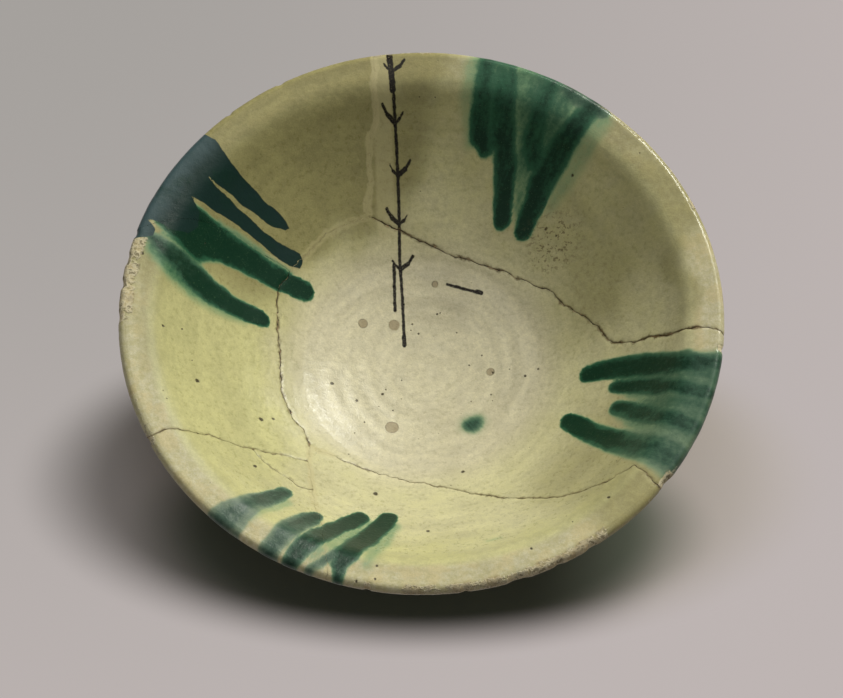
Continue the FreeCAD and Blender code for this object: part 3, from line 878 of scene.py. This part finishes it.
def lathe(loop, count):
    """A closed outline of (radius, height) turned about the axis: the point at a turn t is (r cos t, r sin
    t, z), with the sides drawn in a little where the wheel's tool chattered."""
    turn = (np.arange(count) * math.tau / count)[:, None]
    radius = loop[:, 0] - 0.05 * np.maximum(0, np.sin(turn * 31 + 2 * np.sin(turn * 5)))
    height = np.broadcast_to(loop[:, 1], radius.shape)
    points = np.stack([radius * np.cos(turn), radius * np.sin(turn), height], -1).reshape(-1, 3)
    i, size = np.arange(count)[:, None] * len(loop), len(loop)
    j, k = np.roll(i, -1), np.arange(size)
    n = (k + 1) % size
    return points, np.stack([i + k, i + n, j + n, j + k], -1).reshape(-1, 4), {}


# Materials


def colour(text):
    """An sRGB hex value as linear red, green, blue and alpha: each channel c becomes c / 12.92 up to 0.04045
    and ((c + 0.055) / 1.055)^2.4 above it."""
    channels = [int(text[place:place + 2], 16) / 255 for place in (1, 3, 5)]
    return tuple(c / 12.92 if c <= 0.04045 else ((c + 0.055) / 1.055) ** 2.4 for c in channels) + (1.0,)


def add(tree, kind, inputs=None, **settings):
    """Adds one node. Inputs gives each socket, by name or number, a value, or a node to take its first
    output from, or an output of a node."""
    node = tree.nodes.new("ShaderNode" + kind)
    for key, value in settings.items():
        setattr(node, key, value)
    for key, value in (inputs or {}).items():
        if isinstance(value, bpy.types.Node):
            value = next(output for output in value.outputs if output.enabled)
        if isinstance(value, bpy.types.NodeSocket):
            tree.links.new(value, node.inputs[key])
        else:
            node.inputs[key].default_value = value
    return node


def new_material(name):
    """A material with nothing but its output and shader, its shader, and add for its tree."""
    material = bpy.data.materials.new(name)
    material.use_nodes = True
    shader = next(node for node in material.node_tree.nodes if node.type == "BSDF_PRINCIPLED")
    return material, shader, partial(add, material.node_tree)


def finish_shader(material, shader, body, rough, height, bump_mm, strength, level=0.5):
    """Gives a shader its colour, roughness, bump and specular level. A rough that is a node is linked."""
    links = material.node_tree.links
    links.new(body.outputs[2], shader.inputs["Base Color"])
    if isinstance(rough, float):
        shader.inputs["Roughness"].default_value = rough
    else:
        links.new(rough.outputs[0], shader.inputs["Roughness"])
    shader.inputs["Specular IOR Level"].default_value = level
    bump = add(material.node_tree, "Bump", {"Height": height, "Strength": strength, "Distance": bump_mm * MM})
    links.new(bump.outputs["Normal"], shader.inputs["Normal"])
    return material


def object_place(add):
    """Object coordinates in millimetres, the same laid flat on the floor, and the distance from the axis."""
    where = add("VectorMath", {0: add("TexCoord").outputs["Object"], 3: 1 / MM}, operation="SCALE")
    flat = add("VectorMath", {0: where, 1: (1.0, 1.0, 0.0)}, operation="MULTIPLY")
    return where, flat, add("VectorMath", {0: flat}, operation="LENGTH").outputs["Value"]


def mask(add, *steps):
    """The product of several steps. A step is a value, or (value, low, high) for a smooth step from 0 at
    low to 1 at high, with (start, end) after them where it goes from start to end instead."""
    found = None
    for step in steps:
        if isinstance(step, tuple):
            step = add("MapRange", dict(enumerate(step)), interpolation_type="SMOOTHSTEP")
        found = step if found is None else add("Math", {0: found, 1: step}, operation="MULTIPLY")
    return found


def laid(add, body, *coats):
    """The body with coats laid over it in order, each as its colour and the steps of its mask."""
    for tone, *steps in coats:
        body = add("Mix", {0: mask(add, *steps), 6: body, 7: tone}, data_type="RGBA")
    return body


def nearest(add, flat, runs):
    """The least distance from the flat place to straight runs, each (start, end, half width), past its half
    width. The foot on a run lies at the clamped share (p - start) . way / way . way of it."""
    found = None
    for start, end, half in runs:
        way = (end[0] - start[0], end[1] - start[1], 0.0)
        off = add("VectorMath", {0: flat, 1: (*start, 0.0)}, operation="SUBTRACT")
        if any(way):
            along = add("VectorMath", {0: off, 1: way}, operation="DOT_PRODUCT").outputs["Value"]
            share = add("Math", {0: along, 1: way[0] ** 2 + way[1] ** 2}, operation="DIVIDE", use_clamp=True)
            foot = add("VectorMath", {0: way, 3: share}, operation="SCALE")
            off = add("VectorMath", {0: off, 1: foot}, operation="SUBTRACT")
        away = add("VectorMath", {0: off}, operation="LENGTH").outputs["Value"]
        away = add("Math", {0: away, 1: half}, operation="SUBTRACT")
        found = away if found is None else add("Math", {0: found, 1: away}, operation="MINIMUM")
    return found


def brushed_runs():
    """The straight runs of the brushed ornament, as (start, end, half width): the lines, and pairs of short
    slanting leaves up the stem, left and right in turn."""
    runs = [(a, b, half) for half, line in (STEM, *BRUSHED) for a, b in zip(line, line[1:])]
    stem = np.array(STEM[1])
    steps = lengths(stem)
    for count in range(int(steps[-1] // LEAF_SPACING) - 1):
        x, y = (np.interp((count + 0.55) * LEAF_SPACING, steps, values) for values in stem.T)
        side = -1 if count % 2 else 1
        for way, size in ((side, LEAF_LENGTH), (-side, 0.62 * LEAF_LENGTH)):
            middle, tip = ((x + way * out * size, y + up * size) for out, up in ((0.48, 0.34), (0.78, 0.76)))
            thick = LEAF_WIDTH * size / LEAF_LENGTH
            runs += [((x, y), middle, 0.5 * thick), (middle, tip, 0.32 * thick)]
    return runs


def glaze_material(name, painted):
    """Opaque lead glaze over a cream slip, with copper green run down from the rim, as a fired and buried
    surface: broad soft highlights, a mottled yellow to grey body, streaked greens and dark pinholes. Painted
    makes the restorer's copy of it: flatter, with no pinholes or wear."""
    colours = bpy.context.scene.bowl_colours
    shade = SimpleNamespace(**{key: colour(getattr(colours, key)) for key in BowlColours.__annotations__})
    material, shader, add = new_material(name)
    where, flat, radius = object_place(add)
    field = SimpleNamespace(**{key: add("Attribute", attribute_name=key).outputs["Fac"] for key in (
        "copper", "slate", "paint", "crack", "dark", "worn", "under", "stain_and_shade", "yellow")})
    broad, middle, fine, grain = (
        add("TexNoise", {"Vector": where, "Scale": 1 / size, "Detail": detail, "Roughness": rough})
        for size, detail, rough in ((30.0, 4.0, 0.55), (8.0, 5.0, 0.62), (1.9, 4.0, 0.65), (0.5, 2.0, 0.7)))
    inside = add("Math", {0: 1.0, 1: field.under}, operation="SUBTRACT")

    # The strokes of the cloth or brush, long round the bowl, and the greens' streaks, long down the wall
    axes = add("SeparateXYZ", {0: flat})
    turn = add("Math", {0: axes.outputs["Y"], 1: axes.outputs["X"]}, operation="ARCTAN2")
    zone = add("Math", {0: broad, 1: 10.0, 2: radius}, operation="MULTIPLY_ADD")
    wipe, streak = (
        add("TexNoise", {
            "Vector": add("CombineXYZ", {0: add("Math", {0: turn, 1: stretch}, operation="MULTIPLY"),
                                         1: add("Math", {0: out, 1: squeeze}, operation="MULTIPLY")}),
            "Scale": 1 / size, "Detail": 3.0, "Roughness": rough})
        for stretch, out, squeeze, size, rough in (
            (6.0, zone, 1.0, 4.5, 0.55), (60.0, radius, 0.16, 2.6, 0.6)))

    # Values whose edges the blotches roughen, each as a noise times an amount added to the value
    pale_gap = nearest(add, flat, [(a, b, PALE_STRIP[0]) for a, b in zip(PALE_STRIP[1], PALE_STRIP[1][1:])])
    yellow, painted_wall_shade, lip_edge, rings, brushed, fray, pale_gap, brush = (
        add("Math", {0: noise, 1: amount, 2: value}, operation="MULTIPLY_ADD") for noise, amount, value in (
            (middle, 0.9, field.yellow), (middle, 0.30, field.stain_and_shade), (middle, 3.4, radius),
            (broad, 7.0, radius), (streak, 5.0, radius), (fine, 1.6, field.crack), (fine, 3.0, pale_gap),
            (fine, 0.9, -0.45)))
    ink = add("Math", {0: nearest(add, flat, brushed_runs()), 1: brush}, operation="ADD")
    rings = add("Math", {0: rings, 1: 1.15}, operation="MULTIPLY")
    rings = add("Math", {0: rings}, operation="SINE")
    tone = add("Math", {0: fine, 1: middle}, operation="ADD")

    # The body by zone, the greyer well, the cream and yellow wall and the lip, with olive painted shade where
    # the lamps leave the walls and lip too light, wiped rings and old dirt
    wall = laid(add, shade.cream, (shade.yellow, (yellow, 0.25, 1.25)))
    well = laid(add, shade.well, (shade.ash, (middle, 0.35, 0.70)))
    # The lip takes an olive painted shade where the lamps leave it too light
    lip = laid(add, shade.lip, (shade.ash, (fine, 0.35, 0.65)), (shade.bare, (middle, 0.46, 0.64, 0.0, 0.7)),
               (shade.painted_shade_lip, (field.stain_and_shade, 0.08, 0.45, 0.0, 0.92)))
    body = laid(
        add, well,
        (wall, (zone, 43.0, 58.0)),
        # Olive painted shade on the walls
        (shade.painted_shade_olive, (painted_wall_shade, 0.10, 0.85, 0.0, 0.92)),
        (lip, (lip_edge, 92.2, 95.2, 0.0, 0.72)),
        (shade.pale, (rings, 0.2, 0.9), (radius, 46.0, 30.0, 0.0, 0.16)),
        (shade.dirt, (fine, 0.50, 0.76), (middle, 0.42, 0.66, 0.0, 0.10)))
    cloud = mask(add, (tone, 0.72, 1.30, 0.86, 1.09), (wipe, 0.30, 0.70, 0.925, 1.055))
    body = add("Mix", {0: 1.0, 6: body, 7: cloud}, data_type="RGBA", blend_type="MULTIPLY")
    body = laid(add, body, (shade.dirt, (broad, 0.50, 0.75, 0.0, 0.16)))
    sand = mask(add, (grain, 0.25, 0.75, 0.92, 1.06))
    body = add("Mix", {0: 1.0, 6: body, 7: sand}, data_type="RGBA", blend_type="MULTIPLY")

    # Copper green, pale where it has spread and near black where it is deep, and the restorer's paint
    blot = add("Math", {0: streak, 1: fine}, operation="ADD")
    blot = add("Math", {0: blot, 1: 0.80, 2: 0.20}, operation="MULTIPLY_ADD")
    copper = add("Math", {0: field.copper, 1: blot}, operation="MULTIPLY")
    grey = laid(
        add, shade.slate_thin, (shade.slate, (copper, 0.32, 0.70)), (shade.green, (copper, 0.62, 1.0)))
    green = laid(
        add, shade.green_thin,
        (shade.green_mid, (copper, 0.20, 0.50)),
        (shade.green, (copper, 0.50, 0.84)),
        (grey, field.slate),
        (shade.green_thin, (grain, 0.58, 0.70, 0.0, 0.30), (fine, 0.42, 0.62)))
    paint = laid(add, shade.paint, (shade.paint_rim, (brushed, 95.0, 101.5)),
                 (shade.green, (middle, 0.45, 0.75, 0.0, 0.5)))

    # Over them, on the inside only, a pale strip of filler and the brushed dark lines, and along the breaks
    # the toned filler of the closed ones and the brown that has crept out of the open ones
    body = laid(
        add, body,
        (green, (copper, 0.02, 0.36)),
        (paint, (field.paint, -0.16, 0.16)),
        (shade.lip, (pale_gap, 2.0, 0.9, 0.0, 0.45), inside),
        (shade.line, (ink, 0.20, -0.16), inside, (grain, 0.25, 0.50, 0.72, 1.0)),
        (shade.filler, (fray, 2.3, 1.6), (field.dark, 0.5, 0.1, 0.0, 0.55), (field.paint, 0.3, -0.3),
         (copper, 0.05, 0.3, 1.0, 0.0)),
        (shade.stain_and_shade, (fray, 1.5, 0.75), (middle, 0.40, 0.60, 0.15, 0.85), field.dark,
         (copper, 0.05, 0.4, 1.0, 0.15), (field.paint, 0.3, -0.3, 0.15, 1.0)))
    glassy = add("Math", {
        0: mask(add, (copper, 0.3, 0.7)), 1: mask(add, (field.paint, -0.16, 0.16))}, operation="MAXIMUM")
    glosses = [(0.52, (lip_edge, 86.0, 95.0)), (0.24, (radius, 97.6, 99.4)), (0.36, glassy)]
    bumps = [(middle, 0.30), (fine, 0.10), (grain, 0.025)]

    if not painted:
        # Kiln scars with a dark rim, pits and pinholes, and specks crowded together below the far right runs
        scar, pit = (
            nearest(add, flat, [((x, y), (x, y), size) for x, y, size in marks]) for marks in (SCARS, PITS))
        scar = add("Math", {0: scar, 1: brush}, operation="ADD")
        scar_rim = add("Math", {0: scar}, operation="ABSOLUTE")
        pit = add("Math", {0: fine, 1: 1.4, 2: pit}, operation="MULTIPLY_ADD")
        cells = add("TexVoronoi", {"Vector": where, "Scale": 1 / 4.2, "Randomness": 1.0})
        rare, speck = (
            add("TexNoise", {"Vector": where, "Scale": 1 / size, "Detail": 2.0, "Roughness": rough})
            for size, rough in ((19.0, 0.55), (1.3, 0.6)))
        crowd = add("VectorMath", {0: flat, 1: SPECK_PLACE}, operation="DISTANCE").outputs["Value"]
        holes = add("Math", {
            0: mask(add, (cells.outputs["Distance"], 0.085, 0.035), (rare, 0.55, 0.65, 0.0, 0.80)),
            1: mask(add, (pit, 0.80, 0.40, 0.0, 0.9), inside)}, operation="MAXIMUM")

        # Bare clay, soil and grime where the lip is worn
        worn = mask(add, field.worn, (field.paint, 0.1, -0.3))
        bare = add("Math", {0: middle, 1: 1.2, 2: -0.66}, operation="MULTIPLY_ADD")
        bare = add("Math", {0: fine, 1: 0.9, 2: bare}, operation="MULTIPLY_ADD")
        bare = mask(add, (add("Math", {0: bare, 1: worn}, operation="ADD"), 0.88, 1.06, 0.0, 0.85))
        grime = mask(add, (fine, 0.54, 0.63), (worn, 0.25, 0.7, 0.0, 0.8))
        body = laid(
            add, body,
            (shade.scar, (scar, 0.25, -0.15, 0.0, 0.62), inside),
            (shade.pit, (scar_rim, 0.34, 0.08, 0.0, 0.5), (fine, 0.42, 0.60), inside),
            (shade.pit, holes),
            (shade.dirt, (speck, 0.55, 0.62), (crowd, 14.0, 3.0, 0.0, 0.85)),
            (laid(add, shade.bare, (shade.pale, (fine, 0.3, 0.7))), bare),
            (shade.scar, (middle, 0.48, 0.62), (worn, 0.15, 0.6, 0.0, 0.42)),
            (shade.dirt, grime))
        glosses.append((0.8, bare))
        bumps += [(holes, -0.25), (mask(add, bare, fine), 0.9), (grime, -0.30)]

    gloss = mask(add, (fine, 0.3, 0.75, 0.25, 0.44))
    for rough, step in glosses:
        gloss = add("Mix", {0: mask(add, step), 2: gloss, 3: rough})
    height = 0.0
    for noise, amount in bumps:
        height = add("Math", {0: noise, 1: amount, 2: height}, operation="MULTIPLY_ADD")
    shader.inputs["IOR"].default_value = 1.5
    return finish_shader(material, shader, body, gloss, height, 1.0, 0.8, 0.34)


def clay_material():
    """Buff earthenware, thrown and turned: matt and dry, with fine sand, pale grit and the wheel's lines."""
    material, shader, add = new_material("buff_earthenware")
    where, flat, radius = object_place(add)
    broad, fine = (
        add("TexNoise", {"Vector": where, "Scale": 1 / size, "Detail": detail, "Roughness": rough})
        for size, detail, rough in ((18.0, 4.0, 0.55), (0.9, 3.0, 0.7)))
    grit = add("TexVoronoi", {"Vector": where, "Scale": 1 / 1.7}).outputs["Distance"]
    base = laid(
        add, colour(bpy.context.scene.bowl_colours.clay),
        (colour("#a68763"), (broad, 0.35, 0.7)),
        (colour("#d3c3a2"), (grit, 0.22, 0.10, 0.0, 0.6)),
        (colour("#6f5840"), (fine, 0.55, 0.8, 0.0, 0.5)))
    wheel = add("Math", {0: broad, 1: 1.5, 2: radius}, operation="MULTIPLY_ADD")
    wheel = add("Math", {0: wheel, 1: math.tau / 1.3}, operation="MULTIPLY")
    wheel = add("Math", {0: wheel}, operation="SINE")
    height = add("Math", {0: wheel, 1: 0.05, 2: fine}, operation="MULTIPLY_ADD")
    return finish_shader(material, shader, base, 0.88, height, 0.35, 0.7, 0.3)


def plain_material(name, first, second, period, rough, bump_mm):
    """A dull mottled stuff, such as gypsum plaster or aged resin: two close tones in blotches."""
    material, shader, add = new_material(name)
    where = object_place(add)[0]
    blot = add("TexNoise", {"Vector": where, "Scale": 1 / period, "Detail": 4.0, "Roughness": 0.6})
    base = laid(add, colour(first), (colour(second), (blot, 0.3, 0.7)))
    return finish_shader(material, shader, base, rough, blot, bump_mm, 0.6)


def floor_material():
    """Pale matt board that lightens to the near right, a painted fall of the light. Round the bowl it takes
    the light, so that the shadow stays, and under and before the bowl a painted shadow darkens its colour;
    away from the bowl the camera and its reflections see the board's own colour."""
    colours = bpy.context.scene.bowl_colours
    material, shader, add = new_material("pale_board")
    where, _, from_middle = object_place(add)
    reach = add("VectorMath", {0: where, 1: FAR_LEFT}, operation="DISTANCE").outputs["Value"]
    # The board's colour darkens to the far left: a painted fall of the light across it
    tone = laid(add, colour(colours.floor_far), (colour(colours.floor), (reach, *FLOOR_REACH)))
    ovals = []
    for place, shape in ((PAINTED_SHADOW_PLACE, PAINTED_SHADOW_SHAPE), (SHADOW_PLACE, SHADOW_SHAPE)):
        away = add("VectorMath", {0: where, 1: place}, operation="SUBTRACT")
        away = add("VectorMath", {0: away, 1: shape}, operation="MULTIPLY")
        ovals.append(add("VectorMath", {0: away}, operation="LENGTH").outputs["Value"])
    # Painted shadow: under and before the bowl the board's colour darkens towards the shadow tone
    shaded = laid(add, tone, (colour(colours.floor_painted_shadow), (ovals[0], *PAINTED_SHADOW_REACH, 1.0, 0.0)))
    material.node_tree.links.new(shaded.outputs[2], shader.inputs["Base Color"])
    shader.inputs["Roughness"].default_value = 0.9
    shader.inputs["Specular IOR Level"].default_value = 0.2
    glow = add("Emission", {"Color": tone.outputs[2], "Strength": 1.0})
    path = add("LightPath").outputs
    seen = add("Math", {0: path["Is Camera Ray"], 1: path["Is Glossy Ray"]}, operation="MAXIMUM")
    seen = add("Math", {0: seen, 1: path["Is Transmission Ray"]}, operation="MAXIMUM")
    near_foot = add("Math", {0: from_middle, 1: SHADOW_REACH[0] / FOOT_SHADOW}, operation="MULTIPLY")
    away = add("Math", {0: ovals[1], 1: near_foot}, operation="MINIMUM")
    share = mask(add, (away, *SHADOW_REACH), seen)
    mixed = add("MixShader", {0: share, 1: shader.outputs["BSDF"], 2: glow})
    output = next(node for node in material.node_tree.nodes if node.type == "OUTPUT_MATERIAL")
    material.node_tree.links.new(mixed.outputs[0], output.inputs["Surface"])
    return material


# Operators


class BOWL_OT_bodies(Operator):
    """Make the clay sherds and the plaster fill"""

    bl_idname = "bowl.bodies"
    bl_label = "Sherds and fill"

    def execute(self, context):
        clay = clay_material()
        tone = context.scene.bowl_colours.plaster
        plaster = plain_material("gypsum_plaster", tone, "#c7bda8", 6.0, 0.85, 0.15)
        for name, plan in parted(context.scene.bowl_sizes.clay_mesh, 0.03):
            if name == "fill":
                make_object("plaster_fill", "body", body_mesh(*plan), plaster, 35)
            else:
                make_object("sherd_" + name, "body", body_mesh(*plan), clay, 35)
        return {"FINISHED"}


class BOWL_OT_glaze(Operator):
    """Make the glaze coat on each sherd and the paint coat on the fill"""

    bl_idname = "bowl.glaze"
    bl_label = "Glaze and paint coats"

    def execute(self, context):
        glaze = glaze_material("splashed_lead_glaze", painted=False)
        paint = glaze_material("retouching_paint", painted=True)
        for name, plan in parted(context.scene.bowl_sizes.glaze_mesh, 0.0):
            if name == "fill":
                make_object("fill_paint", "coat", coat_mesh(*plan), paint, 50)
            else:
                make_object("glaze_" + name, "coat", coat_mesh(*plan), glaze, 50)
        return {"FINISHED"}


class BOWL_OT_seams(Operator):
    """Make the glue in each break"""

    bl_idname = "bowl.seams"
    bl_label = "Glue seams"

    def execute(self, context):
        colours = context.scene.bowl_colours
        resin = plain_material("aged_resin", colours.resin, "#3d2f1c", 1.5, 0.55, 0.2)
        toned = plain_material("toned_filler", colours.filler, "#a3976c", 2.5, 0.7, 0.15)
        painted = plain_material("painted_filler", colours.paint, colours.green, 3.0, 0.4, 0.1)
        for name, (half, dark, _) in BREAK_LOOKS.items():
            stuff = painted if name == "fill_left" else resin if dark > 0.4 else toned
            make_object("glue_" + name, "seam", seam_mesh(name, half, dark), stuff, 40)
        return {"FINISHED"}


class BOWL_OT_foot(Operator):
    """Make the ring foot"""

    bl_idname = "bowl.foot"
    bl_label = "Ring foot"

    def execute(self, context):
        corners = (
            (FOOT_TOP_RADIUS, FOOT_TOP), (FOOT_RADIUS, FOOT_EDGE), (FOOT_RADIUS - FOOT_EDGE, 0),
            (FOOT_BORE + FOOT_EDGE, 0), (FOOT_BORE, FOOT_EDGE), (FOOT_BORE, FOOT_HEIGHT))
        ways = (None, (0, -1), None, (-1, 0), None, None)
        counts = (14, 8, 10, 8, 8, 12)
        loop = np.vstack([
            arc_line(start, end, tangent_bow(start, way, end) if way else 0, count)[:-1]
            for start, end, way, count in zip(corners, corners[1:] + corners[:1], ways, counts)])
        clay = bpy.data.materials["buff_earthenware"]
        make_object("foot_ring", "turned", lathe(loop, 240), clay, 40)
        return {"FINISHED"}


class BOWL_OT_stage(Operator):
    """Make the floor, the lights and the camera"""

    bl_idname = "bowl.stage"
    bl_label = "Stage"

    def execute(self, context):
        scene = context.scene
        reach = 4.0
        mesh = bpy.data.meshes.new("floor")
        mesh.from_pydata([(-reach, -reach, 0), (reach, -reach, 0), (reach, reach, 0), (-reach, reach, 0)], [],
                         [(0, 1, 2, 3)])
        mesh.materials.append(floor_material())
        floor = bpy.data.objects.new("floor", mesh)
        scene.collection.objects.link(floor)

        scene.world = bpy.data.worlds.new("soft_sky")
        scene.world.use_nodes = True
        tree = scene.world.node_tree
        sky = next(node for node in tree.nodes if node.type == "BACKGROUND")
        sky.inputs["Color"].default_value = colour("#fbf6f2")
        up = add(tree, "SeparateXYZ", {0: add(tree, "TexCoord").outputs["Generated"]}).outputs["Z"]
        strength = scene.bowl_sizes.sky_strength
        level = mask(partial(add, tree), (up, 0.2, 1.0, 0.10 * strength, 1.8 * strength))
        tree.links.new(level.outputs[0], sky.inputs["Strength"])

        # The key stands where the well's highlight says: behind, to the right and 35 degrees up
        for name, direction, distance, size, power, tint in (
            ("key", (0.45, 0.68, 0.58), 1.3, 0.50, scene.bowl_sizes.key_strength, "#fcfbf0"),
            ("top", (-0.10, 0.25, 1.0), 1.6, 1.2, scene.bowl_sizes.top_strength, "#f4f8fa"),
        ):
            lamp = bpy.data.lights.new(name, "AREA")
            lamp.shape = "DISK"
            lamp.size = size
            lamp.energy = power
            lamp.color = colour(tint)[:3]
            holder = bpy.data.objects.new(name, lamp)
            way = np.array(direction) / np.linalg.norm(direction)
            holder.location = way * distance + np.array([0, 0, 0.03])
            holder.rotation_euler = (math.acos(way[2]), 0, math.atan2(way[0], -way[1]))
            holder.visible_glossy = name == "key"
            scene.collection.objects.link(holder)

        view = bpy.data.cameras.new("photograph")
        view.lens = CAMERA_LENS
        view.sensor_width = 36.0
        view.sensor_fit = "HORIZONTAL"
        scene.camera = bpy.data.objects.new("photograph", view)
        rim_height, away = (OVERALL_HEIGHT - GLAZE) * MM, CAMERA_DISTANCE * MM
        scene.camera.location = (
            0, -away * math.cos(CAMERA_ELEVATION), rim_height + away * math.sin(CAMERA_ELEVATION))
        scene.camera.rotation_euler = (math.pi / 2 - CAMERA_ELEVATION - CAMERA_DROP, 0, 0)
        scene.collection.objects.link(scene.camera)
        scene.view_settings.view_transform = "Standard"
        return {"FINISHED"}


class BOWL_PT_panel(Panel):
    """The bowl's pieces and settings"""

    bl_idname = "BOWL_PT_panel"
    bl_label = "Mended bowl"
    bl_space_type = "VIEW_3D"
    bl_region_type = "UI"
    bl_category = "Bowl"

    def draw(self, context):
        for operator in OPERATORS:
            self.layout.operator(operator.bl_idname)
        for group in (context.scene.bowl_sizes, context.scene.bowl_colours):
            for key in group.bl_rna.properties.keys():
                if key not in ("rna_type", "name"):
                    self.layout.prop(group, key)


OPERATORS = (BOWL_OT_bodies, BOWL_OT_glaze, BOWL_OT_seams, BOWL_OT_foot, BOWL_OT_stage)
CLASSES = (BowlSizes, BowlColours) + OPERATORS + (BOWL_PT_panel,)


def register():
    """Registers the classes and hangs the settings on the scene."""
    for item in CLASSES:
        bpy.utils.register_class(item)
    bpy.types.Scene.bowl_sizes = PointerProperty(type=BowlSizes)
    bpy.types.Scene.bowl_colours = PointerProperty(type=BowlColours)


def unregister():
    """Takes the settings and the classes away again."""
    del bpy.types.Scene.bowl_sizes
    del bpy.types.Scene.bowl_colours
    for item in reversed(CLASSES):
        bpy.utils.unregister_class(item)


def main():
    """Makes every piece and the stage."""
    register()
    bpy.ops.bowl.bodies()
    bpy.ops.bowl.glaze()
    bpy.ops.bowl.seams()
    bpy.ops.bowl.foot()
    bpy.ops.bowl.stage()


if __name__ == "__main__":
    main()
